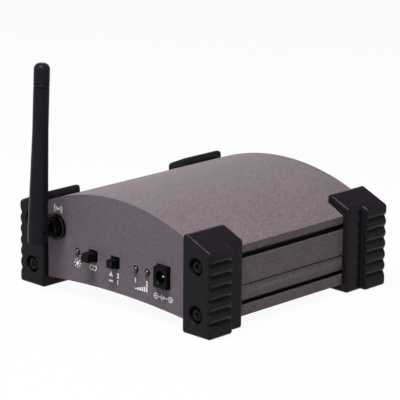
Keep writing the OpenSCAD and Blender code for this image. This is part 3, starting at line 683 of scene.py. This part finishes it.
with editing(bumper, "VERT"):
    for layer in range(RIBS * RIB_LAYERS + 1):
        slice_at((0, 0, RIB_START + layer * RIB_PITCH / RIB_LAYERS), (0, 0, 1))
    mesh = bmesh.from_edit_mesh(bumper.data)
    for point in mesh.verts:
        share = max(0, (point.co.x / MM - FLANGE_OUT) / (BUMPER_OUT - FLANGE_OUT))
        point.co.x -= share * rib_depth(point.co.z / MM) * MM
    bmesh.update_edit_mesh(bumper.data)
print("ribbed and rounded:", len(bumper.data.polygons), "faces")

# %% [markdown]
# The case's outline is cut out of the bumper: a flat bar trimmed with the big circle of
# the roof and the flatter one of the underside. A well then takes the head of each screw.
# One bumper serves for all four corners, mirrored in place.

# %% Cut for the case, wells and four corners
SEAT = 0.1  # play between a bumper and the case
LIP_T = 3.2  # thickness of the lip in front of the end panel
SCREW_HOLE_R = 1.7
PAST = 5  # how far the cutting cylinders reach past the bar
BAR_TOP = 60  # of the raw bar, above the roof


def case_bar(front, back):
    """The outline of the case, a seat's width larger, as a bar along Y."""
    low, high = (-HALF_W - SEAT, front, FLOOR_Z - SEAT), (HALF_W + SEAT, back, BAR_TOP)
    bar = block("case_bar", low, high)
    ends = (front - PAST, back + PAST)
    near, far = ((0, y, ROOF_TOP - ROOF_R) for y in ends)
    combine(bar, rod("arch", ROOF_R + SEAT, near, far, sides=720), "INTERSECT")
    near, far = ((0, y, FLOOR_Z + UNDER_RISE - UNDER_R) for y in ends)
    combine(bar, rod("under", UNDER_R - SEAT, near, far, sides=1800))
    return bar


def wells_at(point):
    """Heights of the screw wells on whose mouth a point of the bumper lies."""
    x, y, z = point.co / MM
    rims = {h for h in SCREW_HEIGHTS if abs(math.hypot(x - SCREW_X, z - h) - WELL_R) < 0.05}
    return rims if abs(y - BUMPER_FRONT) < 0.01 else set()


combine(bumper, case_bar(BUMPER_FRONT + LIP_T, 0))
for height in SCREW_HEIGHTS:
    near = (SCREW_X, BUMPER_FRONT - 1, height)
    combine(bumper, rod("well", WELL_R, near, (SCREW_X, BUMPER_FRONT + WELL_DEEP, height)))
    combine(bumper, rod("hole", SCREW_HOLE_R, near, (SCREW_X, 0, height), sides=32))
with editing(bumper, "EDGE"):
    rims = pick(bumper, lambda edge: wells_at(edge.verts[0]) & wells_at(edge.verts[1]))
    bpy.ops.mesh.bevel(offset=0.3 * MM, segments=3)
print("rim edges rounded:", rims)

corners = {"front_left": (-1, 1, 1), "rear_right": (1, -1, 1), "rear_left": (-1, -1, 1)}
twins = [twin(bumper, f"bumper_{word}_moulding", flip) for word, flip in corners.items()]
for piece in (bumper, *twins):
    node = piece.name.removesuffix("_moulding")
    fit(piece, "case", bumper_abs, "bumper_plastic", node)

# %% [markdown]
# ## The screws
# M3 pan head screws with a cross recess: two crossed tapered blades are cut out of a
# turned head with a low dome. The recess is cold-formed, so its edges are rounded. One
# screw is made and copied, and each copy is turned by its own angle, as screws are after
# tightening.

# %% One pan head screw and its eight places
SHANK_R, SCREW_L = 1.5, 12.0
DOME_FROM = 0.75  # height of the head's straight side
RECESS_R, RECESS_W, RECESS_DEEP = 1.95, 0.45, 1.3
SPIN = 17  # degrees from one screw to the next


def recess_blade(turn):
    """A wedge that is wide at the top of the head and narrow at the bottom of the recess."""
    low = (-RECESS_R, -RECESS_W, HEAD_H - RECESS_DEEP)
    blade = block("blade", low, (RECESS_R, RECESS_W, HEAD_H + 0.5))
    with editing(blade, "FACE"):
        pick(blade, lambda f: f.normal.z < -0.9)
        bpy.ops.transform.resize(value=(0.45, 0.7, 1))
    return put(blade, (0, 0, 0), (0, 0, turn))


dome_h = HEAD_H - DOME_FROM
turns = [i * math.pi / 16 for i in range(1, 9)]
dome = [(HEAD_R * math.sin(a), DOME_FROM + dome_h * math.cos(a)) for a in turns]
under_head = [(HEAD_R, 0.15), (HEAD_R - 0.15, 0), (SHANK_R, 0)]
shank = [(SHANK_R, -SCREW_L), (0, -SCREW_L)]
screw = turned("pan_screw", [(0, HEAD_H), *dome, *under_head, *shank], steps=48)
for turn in (0, 90):
    combine(screw, recess_blade(turn))
soften(screw, 0.07, angle=50)
print("one screw:", len(screw.data.polygons), "faces")

SCREW_SEAT = BUMPER_FRONT + WELL_DEEP
count = 0
for end, node in ((1, "front_bumper_screws"), (-1, "rear_bumper_screws")):
    for side in (-1, 1):
        for height in SCREW_HEIGHTS:
            count += 1
            one = twin(screw, f"pan_screw_{count}")
            put(one, (0, 0, 0), (0, 0, SPIN * count))
            put(one, (side * SCREW_X, end * SCREW_SEAT, height), (90 * end, 0, 0))
            fit(one, "case", black_oxide, "black_steel", node)
bpy.data.objects.remove(screw)

# %% [markdown]
# ## The case
# The two shells and the end panels have the right shape already, but lack the broken edges
# that sawing, tumbling and coating leave. So each is copied, its triangles are merged into
# whole faces, and its edges are rounded slightly.

# %% Shells and panels
for node, r, finish in (
    ("top_shell", 0.25, shell_coat),
    ("bottom_shell", 0.25, shell_coat),
    ("front_panel", 0.3, panel_coat),
    ("rear_panel", 0.3, panel_coat),
):
    piece = copy_of(node, f"{node}_coated")
    soften(piece, r, angle=30)
    slot = "coated_aluminium" if "shell" in node else "coated_panel"
    fit(piece, "case", finish, slot, node)

# %% [markdown]
# ## The antenna
# The whip is turned: a foot, a long taper, a fine groove and a domed tip. It is modelled
# upright at the origin, where cutting the fork for the hinge is easy, and then leant and
# moved to its folding pin.

# %% Whip and tip
pin_low, pin_high = span("antenna_fold_pin")
FOLD = (pin_low + pin_high) / 2
LEAN = 2.8
WHIP_L, TIP_L = 85.5, 10.0
FOOT_R, TIP_R = 5.05, 4.0
TIP_ROUND = 3.0  # radius of the tip's rounded end
TAIL = 6.0  # how far the foot reaches below the pin
TAPER_END = WHIP_L * 0.6
GROOVE_R = TIP_R - 0.4
GAP = 0.2  # between the tip and the sleeve
SLOT_W, SLOT_R = 4.2, 3.4  # of the fork
SWING_R = 6.5  # the heel is round about the pin, to pass the knuckle when the whip folds
PIN_R = 1.0
CLEAR = 9  # cutters and raw blocks reach past the foot by this
whip_top = WHIP_L - TIP_L

foot = [(0, -TAIL), (FOOT_R - 1.0, -TAIL), (FOOT_R - 0.3, -TAIL + 0.3), (FOOT_R, -TAIL + 1.0)]
taper = [(FOOT_R, 2), (TIP_R, TAPER_END), (TIP_R, whip_top - 2.1)]
groove = [(GROOVE_R, whip_top - 1.9), (GROOVE_R, whip_top - 1.5), (TIP_R, whip_top - 1.3)]
end = [(TIP_R, whip_top - 0.2), (TIP_R - 0.2, whip_top), (0, whip_top)]
whip = turned("antenna_whip", [*foot, *taper, *groove, *end], steps=96)
combine(whip, rod("slot", SLOT_R, (-SLOT_W / 2, 0, 0), (SLOT_W / 2, 0, 0)))
combine(whip, block("slot", (-SLOT_W / 2, 0, -SLOT_R), (SLOT_W / 2, CLEAR, SLOT_R)))
combine(whip, block("slot", (-SLOT_W / 2, -SLOT_R, -CLEAR), (SLOT_W / 2, CLEAR, 0)))
heel = block("heel", (-CLEAR, 0, -CLEAR), (CLEAR, CLEAR, 0))
combine(heel, rod("swing", SWING_R, (-CLEAR - 1, 0, 0), (CLEAR + 1, 0, 0)))
combine(whip, heel)
combine(whip, rod("pin_hole", PIN_R, (-CLEAR, 0, 0), (CLEAR, 0, 0), sides=32))
soften(whip, 0.2, angle=40)
put(whip, FOLD, (0, LEAN, 0))
fit(whip, "whip", antenna_skin, "antenna_rubber", "antenna_sleeve")

foot = [(0, 0), (TIP_R - 0.35, 0), (TIP_R, 0.3)]
tip = turned("antenna_tip", [*foot, *rounded_end(TIP_R, TIP_L - GAP, TIP_ROUND)], steps=96)
put(tip, (0, 0, whip_top + GAP))
put(tip, FOLD, (0, LEAN, 0))
fit(tip, "whip", antenna_skin, "antenna_rubber", "antenna_cap")

# %% [markdown]
# The whip folds on a steel pin through the tongue of a knuckle, and the knuckle's neck
# turns inside the coupling nut. Neck, collar and contact are one turned profile; the
# tongue and its barrel are joined on, and the pin's hole is drilled last.

# %% Knuckle and folding pin
TONGUE_W, TONGUE_R, TONGUE_HALF = 3.9, 3.0, 1.5
NECK_R, NECK_FROM = 2.5, 6.65  # the neck starts clear of the whip's heel as it swings past
COLLAR_R = 3.07  # the collar that the coupling nut holds
CONTACT_R = 0.4

neck = [(0, NECK_FROM), (NECK_R, NECK_FROM), (NECK_R, 7.7), (COLLAR_R - 0.07, 7.7)]
collar = [(COLLAR_R, 7.8), (COLLAR_R, 8.1), (COLLAR_R - 0.1, 8.2), (CONTACT_R, 8.2)]
contact = [(CONTACT_R, 10.5), (CONTACT_R / 2, 10.7), (0, 10.7)]
knuckle = turned("antenna_knuckle_moulding", [*neck, *collar, *contact], steps=48)
put(knuckle, (0, 0, 0), (-90, 0, 0))
tongue_end = (TONGUE_W / 2, NECK_FROM + 0.2, TONGUE_HALF)
combine(knuckle, block("tongue", (-TONGUE_W / 2, 0, -TONGUE_HALF), tongue_end), "UNION")
barrel = rod("barrel", TONGUE_R, (-TONGUE_W / 2, 0, 0), (TONGUE_W / 2, 0, 0))
combine(knuckle, barrel, "UNION")
combine(knuckle, rod("hole", PIN_R + 0.05, (-4, 0, 0), (4, 0, 0), sides=32))
soften(knuckle, 0.12)
put(knuckle, FOLD, (0, LEAN, 0))
fit(knuckle, "knuckle", key_plastic, "antenna_plastic", "antenna_knuckle")

half_pin = FOOT_R - 0.5
end = [(0, -half_pin), (PIN_R - 0.25, -half_pin), (PIN_R, -half_pin + 0.25)]
fold_pin = turned("antenna_fold_pin_turned", two_ended(end, 0), steps=32)
put(fold_pin, (0, 0, 0), (0, 90, 0))
put(fold_pin, FOLD, (0, LEAN, 0))
fit(fold_pin, "whip", black_oxide, "black_steel", "antenna_fold_pin")

# %% [markdown]
# Two nuts hold the antenna: a round dress nut clamps the socket in the panel, and the
# hexagonal coupling nut draws the antenna onto it. A hexagon is a six-sided cylinder
# whose corners are turned off by a cone, which leaves the curved bright edge on each flat.


# %% Hexagon nuts and washers
def hex_nut(name, flat, thick, bore, chamfer=0.42):
    """A nut along Z from 0 to thick, with a corner at +X and chamfers on both faces."""
    corner = flat / math.cos(math.pi / 6)
    nut = put(rod(name, corner, (0, 0, 0), (0, 0, thick), sides=6), (0, 0, 0), (0, 0, 30))
    end = [(0, 0), (flat - 0.1, 0), (corner + 0.1, chamfer + 0.1)]
    cone = turned("cone", two_ended(end, thick), steps=96)
    combine(nut, cone, "INTERSECT")
    combine(nut, rod("bore", bore, (0, 0, -1), (0, 0, thick + 1)))
    soften(nut, 0.08, angle=20)
    return nut


def ring(name, r_in, r_out, thick, edge, steps=72):
    """A washer or a round nut along Z from 0 to thick, with its outer edges broken."""
    end = [(r_in, 0), (r_out - edge, 0), (r_out, edge)]
    return turned(name, [*two_ended(end, thick), (r_in, 0)], steps=steps)


# %% Dress nut and coupling nut
PANEL_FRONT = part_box("front_panel")[0].y / MM
socket_axis = Vector((FOLD.x, PANEL_FRONT, FOLD.z))
nut_low, nut_high = span("coupling_nut")
COUPLING_FLAT = (nut_high.z - nut_low.z) / 2
COUPLING_T = nut_high.y - nut_low.y

dress_nut = ring("antenna_dress_nut", 3.25, 6.7, 2.4, 0.45)
lay(dress_nut, socket_axis, PANEL_FRONT)
fit(dress_nut, "case", black_nickel, "black_nut", "rf_dress_nut")

coupling = hex_nut("antenna_coupling_nut", COUPLING_FLAT, COUPLING_T, NECK_R + 0.1)
lay(coupling, socket_axis, nut_high.y)
fit(coupling, "case", black_nickel, "black_nut", "coupling_nut")

# %% [markdown]
# ## The front controls
# Each button is a moulded cap on a plunger, with a slight draft and a face that is dished
# for the fingertip. It starts as a box of its packed size: the front face is drawn in a
# little, inset and sunk, all edges are rounded, and the back is bored for the plunger.

# %% Button caps
PLUNGER_R = 1.4
CAP_DRAFT = 0.92  # size of the front face against the back
RIM_W, DISH = 0.55, 0.18  # width of the rim, and how deep the face is sunk


def button_cap(name, node, body):
    """A cap that fills its packed box, on the body that moves with the button."""
    low, high = span(node)
    cap = block(name, low, high)
    with editing(cap, "FACE"):
        pick(cap, lambda f: f.normal.y < -0.9)
        bpy.ops.transform.resize(value=(CAP_DRAFT, 1, CAP_DRAFT))
        bpy.ops.mesh.inset(thickness=RIM_W * MM)
        bpy.ops.transform.translate(value=(0, DISH * MM, 0))
    soften(cap, 0.28, segments=3, angle=12)
    centre = (low + high) / 2
    near, far = ((centre.x, y, centre.z) for y in (low.y + 2, high.y + 1))
    combine(cap, rod("bore", PLUNGER_R + 0.05, near, far))
    fit(cap, body, key_plastic, "black_plastic", node)


button_cap("pairing_button_cap", "pair_button", "pair_cap")
button_cap("mode_button_cap", "mode_button", "mode_cap")

# %% [markdown]
# The lamps are 3 mm diodes cast in tinted epoxy: a dome, a barrel and a thin flange. The
# reflector cup behind the dome looks pale in the middle, so each lamp's own finish goes
# from a pale middle to a dark rim, measured from its axis.

# %% Lamps
CUP_R, RIM_R = 0.45, 1.15  # where the pale middle ends and the dark rim begins
FLANGE_OVER, FLANGE_T = 0.35, 1.1


def lamp_epoxy(name, rim, cup, centre):
    """Tinted epoxy round an axis along Y: pale over the reflector cup, dark at the rim."""
    finish, tree, place = opened(name)
    shift = [-centre.x * MM, 0, -centre.z * MM]
    local = add(tree, "Mapping", {"Location": shift, "Scale": (1, 0, 1), "Vector": place})[0]
    away = add(tree, "VectorMath", {"operation": "LENGTH", 0: local})["Value"]
    edge = {"From Min": CUP_R * MM, "From Max": RIM_R * MM}
    reach = add(tree, "MapRange", {"Value": away, **edge})[0]
    values = {0: reach, 6: linear(cup), 7: linear(rim)}
    tint = add(tree, "Mix", {"data_type": "RGBA", **values})[2]
    flow = add(tree, "TexNoise", {**GRAIN, **sized(0.9, place)})[0]
    values = {"Base Color": tint, "Transmission Weight": 0.35, "IOR": 1.53}
    closed(tree, flow, 0.08, 0.16, values)
    return finish


def lamp(name, node, slot, rim, cup):
    """A lamp that fills its packed box, in its slot, with the colours of its epoxy."""
    low, high = span(node)
    centre = (low + high) / 2
    flange_r = (high.x - low.x) / 2
    dome_r = flange_r - FLANGE_OVER
    foot = [(0, 0), (flange_r, 0), (flange_r, FLANGE_T), (dome_r, FLANGE_T)]
    lens = turned(name, [*foot, *rounded_end(dome_r, high.y - low.y, dome_r)], steps=48)
    lay(lens, centre, high.y)
    fit(lens, "case", lamp_epoxy(f"{name}_epoxy", rim, cup, centre), slot, node)


lamp("status_lamp_lens", "status_lamp", "green_lens", "#11261a", "#4f7559")
lamp("peak_lamp_left_lens", "peak_lamp_left", "red_lens", "#35090d", "#8c3a40")
lamp("peak_lamp_right_lens", "peak_lamp_right", "red_lens", "#35090d", "#8c3a40")

# %% [markdown]
# ## The power inlet
# A glossy black moulding with two cut corners at the top, a round socket with a countersunk
# mouth and a bright centre pin. The box gets its cut corners first, then all outer edges
# are rounded, and the socket and the slot of its spring are cut last, so they stay crisp.

# %% Inlet and its pin
inlet_low, inlet_high = span("inlet_housing")
inlet_axis = (inlet_low + inlet_high) / 2
SOCKET_R, SOCKET_L, SPRING_W = 3.15, 9.5, 2.4
CUT_CORNER = 1.3
nose = inlet_low.y

inlet = block("power_inlet_moulding", inlet_low, inlet_high)
with editing(inlet, "EDGE"):
    top, mid = inlet_high.z - 0.01, inlet_axis.x
    pick(inlet, lambda e: middle(e).z > top and abs(middle(e).x - mid) > 4)
    bpy.ops.mesh.bevel(offset=CUT_CORNER * MM, segments=1)
soften(inlet, 0.3, segments=3)
mouth, end = ((inlet_axis.x, y, inlet_axis.z) for y in (nose - 1, nose + SOCKET_L))
combine(inlet, rod("socket", SOCKET_R, mouth, end, sides=96))
cone = [(0, -0.1), (SOCKET_R - 0.1, -0.1), (SOCKET_R + 0.5, 0.6), (0, 0.6)]
countersink = turned("countersink", cone, steps=96)
lay(countersink, inlet_axis, nose + 0.45)
combine(inlet, countersink)
spring_low = inlet_axis.z - SOCKET_R - 1
slot_from = (inlet_axis.x - SPRING_W / 2, nose + 2, spring_low)
slot_to = (inlet_axis.x + SPRING_W / 2, nose + SOCKET_L - 1, spring_low + SOCKET_R)
combine(inlet, block("spring_slot", slot_from, slot_to))
fit(inlet, "case", inlet_plastic, "black_plastic", "inlet_housing")

post_low, post_high = span("inlet_pin")
post_r = (post_high.x - post_low.x) / 2
profile = [(0, 0), (post_r, 0), *rounded_end(post_r, post_high.y - post_low.y, post_r)]
post = turned("power_inlet_pin", profile, steps=40)
lay(post, inlet_axis, post_high.y)
fit(post, "case", bright_nickel, "nickel_steel", "inlet_pin")

# %% [markdown]
# ## The input jacks
# Two 6.35 mm jacks with moulded bushings come through the rear panel, each held by a
# washer and a hexagonal nut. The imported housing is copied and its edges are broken. Fine
# grooves show the thread where the nut leaves the bushing free, and the bore gets the
# flare that guides a plug in.

# %% Jacks, nuts and washers
THREAD_PITCH, THREAD_DEEP = 0.75, 0.22
BUSH_R, JACK_BORE_R = 4.5, 3.2

for side, word in ((-1, "left"), (1, "right")):
    washer_low, washer_high = span(f"jack_washer_{word}")
    hex_low, hex_high = span(f"jack_nut_{word}")
    axis = (washer_low + washer_high) / 2
    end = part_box(f"input_jack_{word}")[1].y / MM

    jack = copy_of(f"input_jack_{word}", f"input_jack_{word}_moulding")
    soften(jack, 0.25, angle=40)
    outside = BUSH_R + 0.5
    profile = [(outside, 0)]
    turns = int((end - hex_high.y - 0.5) / THREAD_PITCH)
    for i in range(turns):
        start = i * THREAD_PITCH
        profile += [(BUSH_R + 0.01, start + 0.1), (BUSH_R - THREAD_DEEP, start + 0.45)]
    last = turns * THREAD_PITCH
    profile += [(BUSH_R + 0.01, last), (outside, last), (outside, 0)]
    combine(jack, lay(turned("thread", profile), axis, end - 0.4))
    cone = [(0, -0.1), (JACK_BORE_R + 0.5, -0.1), (JACK_BORE_R - 0.1, 0.6), (0, 0.6)]
    combine(jack, lay(turned("flare", cone), axis, end))
    fit(jack, "case", jack_nylon, "jack_plastic", f"input_jack_{word}")

    washer_r = (washer_high.x - washer_low.x) / 2
    washer = ring(f"jack_washer_{word}_stamped", BUSH_R + 0.1, washer_r, 0.6, 0.12)
    lay(washer, axis, washer_high.y)
    fit(washer, "case", bright_nickel, "nickel_steel", f"jack_washer_{word}")

    flat, thick = (hex_high.z - hex_low.z) / 2, hex_high.y - hex_low.y
    nut = hex_nut(f"jack_nut_{word}_hexagon", flat, thick, BUSH_R + 0.05)
    lay(nut, axis, hex_high.y)
    fit(nut, "case", bright_nickel, "nickel_steel", f"jack_nut_{word}")

# %% [markdown]
# ## Printed signs
# The front panel is screen printed in white with plain signs that any maker may use: waves
# for the antenna, a lit lamp, two joined rings for pairing, the two states of the push
# button, a level meter, and the polarity of the plug. Ink lies a few hundredths of a
# millimetre proud, so each sign is a very thin solid, drawn flat and then stood up.

# %% Printed signs
INK = 0.04  # thickness of the print
LINE, BOLD = 0.45, 0.55  # widths of its lines


def bar(x, z, wide, high=LINE, turn=0):
    """A rectangle of ink with its middle at x, z."""
    flat = block("bar", (-wide / 2, -high / 2, 0), (wide / 2, high / 2, INK))
    return put(flat, (x, z, 0), (0, 0, turn))


def disc(x, z, r, line=None):
    """A round dot, or a ring whose line is that wide."""
    inner = r - line if line else 0
    profile = [(inner, 0), (r, 0), (r, INK), (inner, INK)]
    if line:
        profile.append((inner, 0))
    return put(turned("disc", profile, steps=40), (x, z, 0))


def arc(x, z, r, line, opening, facing):
    """Part of a ring: the ring is cut back to a wedge that opens towards facing."""
    piece = disc(0, 0, r, line)
    for side in (-1, 1):
        keep = block("wedge", (-2 * r, 0, -1), (2 * r, 2 * r, 1))
        turn = opening / 2 - 90 if side > 0 else 90 - opening / 2
        combine(piece, put(keep, (0, 0, 0), (0, 0, turn)), "INTERSECT")
    return put(piece, (x, z, 0), (0, 0, facing - 90))


def triangle(x, z, r):
    """A triangle that points up."""
    return put(rod("triangle", r, (0, 0, 0), (0, 0, INK), sides=3), (x, z, 0), (0, 0, 180))


def numeral(text, x, z, high):
    """A number with its middle at x, z, drawn a little bolder than the font has it."""
    bpy.ops.object.text_add()
    letters = bpy.context.object
    letters.data.body = text
    letters.data.size = high * 1.4 * MM
    letters.data.align_x = "CENTER"
    letters.data.offset = 0.12 * MM
    letters.data.extrude = INK / 2 * MM
    bpy.ops.object.convert(target="MESH")
    return put(bpy.context.object, (x, z - high / 2, INK / 2))


def printed(name, *parts):
    """Joins the parts of one sign, stands it on the panel and inks it."""
    only(*parts)
    bpy.ops.object.join()
    sign = settle(name)
    put(sign, (0, PANEL_FRONT, 0), (90, 0, 0))
    return fit(sign, "case", panel_ink, None)


# %% Each sign in its place
x, z = FOLD.x + 0.6, 42.3
waves = [arc(x, z, r, BOLD, 84, facing) for r in (1.8, 3.1) for facing in (0, 180)]
printed("sign_antenna", *waves, disc(x, z, 0.7))

UPPER, LOWER = 17.2, 13.0  # heights of the two rows of signs
x = (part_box("status_lamp")[0].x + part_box("status_lamp")[1].x) / 2 / MM
RAYS_AT = 2.0
rays = [
    bar(x + RAYS_AT * math.cos(a), UPPER + RAYS_AT * math.sin(a), 1.0, turn=math.degrees(a))
    for a in [i * math.pi / 4 for i in range(8)]
]
printed("sign_lamp", *rays, disc(x, UPPER, 1.0))

printed("sign_pairing", disc(-17.1, UPPER, 1.5, BOLD), disc(-14.9, UPPER, 1.5, BOLD))

states = [triangle(-3.2, 16.6, 1.7), numeral("2", 1.6, 17.0, 2.4)]
states += [bar(-3.2, 13.4, 3.0, 1.0), numeral("1", 1.6, 13.6, 2.4)]
printed("sign_button_states", *states)

printed("sign_meter_numbers", numeral("1", 13.9, 17.6, 2.3), numeral("2", 21.7, 17.6, 2.3))
steps = [bar(14.2 + 1.5 * i, 13.4 + 0.22 * i, 1.0, 0.6 + 0.44 * i) for i in range(6)]
printed("sign_meter", *steps)

minus, contact, plus = 28.2, 33.2, 37.8
polarity = [disc(minus, LOWER, 1.5, LINE), bar(minus, LOWER, 1.5), bar(30.4, LOWER, 1.8)]
polarity += [arc(contact, LOWER, 1.9, 0.5, 250, 180), disc(contact, LOWER, 0.75)]
polarity += [bar(35.2, LOWER, 2.8), disc(plus, LOWER, 1.5, LINE)]
polarity += [bar(plus, LOWER, 1.5), bar(plus, LOWER, LINE, 1.5)]
printed("sign_polarity", *polarity)

# %% [markdown]
# ## Parts inside
# What sits inside the case keeps its plain solid, because it is seen only through a bore
# or with the case open. Every surface still gets the finish of its real material.

# %% Finishes of the inner parts
inner = [
    (gold_plate, "rf_socket rf_socket_contact"),
    (white_ptfe, "rf_socket_insulator"),
    (bright_nickel, "rf_lock_washer radio_shield crystal inlet_spring"),
    (bright_nickel, "jack_contact_left jack_contact_right"),
    (drawn_brass, "antenna_radiator"),
    (cable_jacket, "coax_pigtail"),
    (board_mask, "main_board radio_module"),
    (chip_resin, "codec_chip control_chip voltage_regulator pair_switch mode_switch"),
    (ivory_acetal, "pair_plunger mode_plunger"),
    (jack_nylon, "status_lamp_holder peak_lamp_left_holder peak_lamp_right_holder"),
]
for i in range(1, 5):
    centre = sum(span(f"capacitor_{i}"), Vector()) / 2
    sleeve = striped_sleeve(f"shrink_sleeve_{i}", centre)
    inner.append((sleeve, f"capacitor_{i}"))
for finish, nodes in inner:
    for node in nodes.split():
        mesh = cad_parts[node].data
        mesh.materials.clear()
        mesh.materials.append(finish)
print("inner parts with a finish:", sum(len(nodes.split()) for _, nodes in inner))
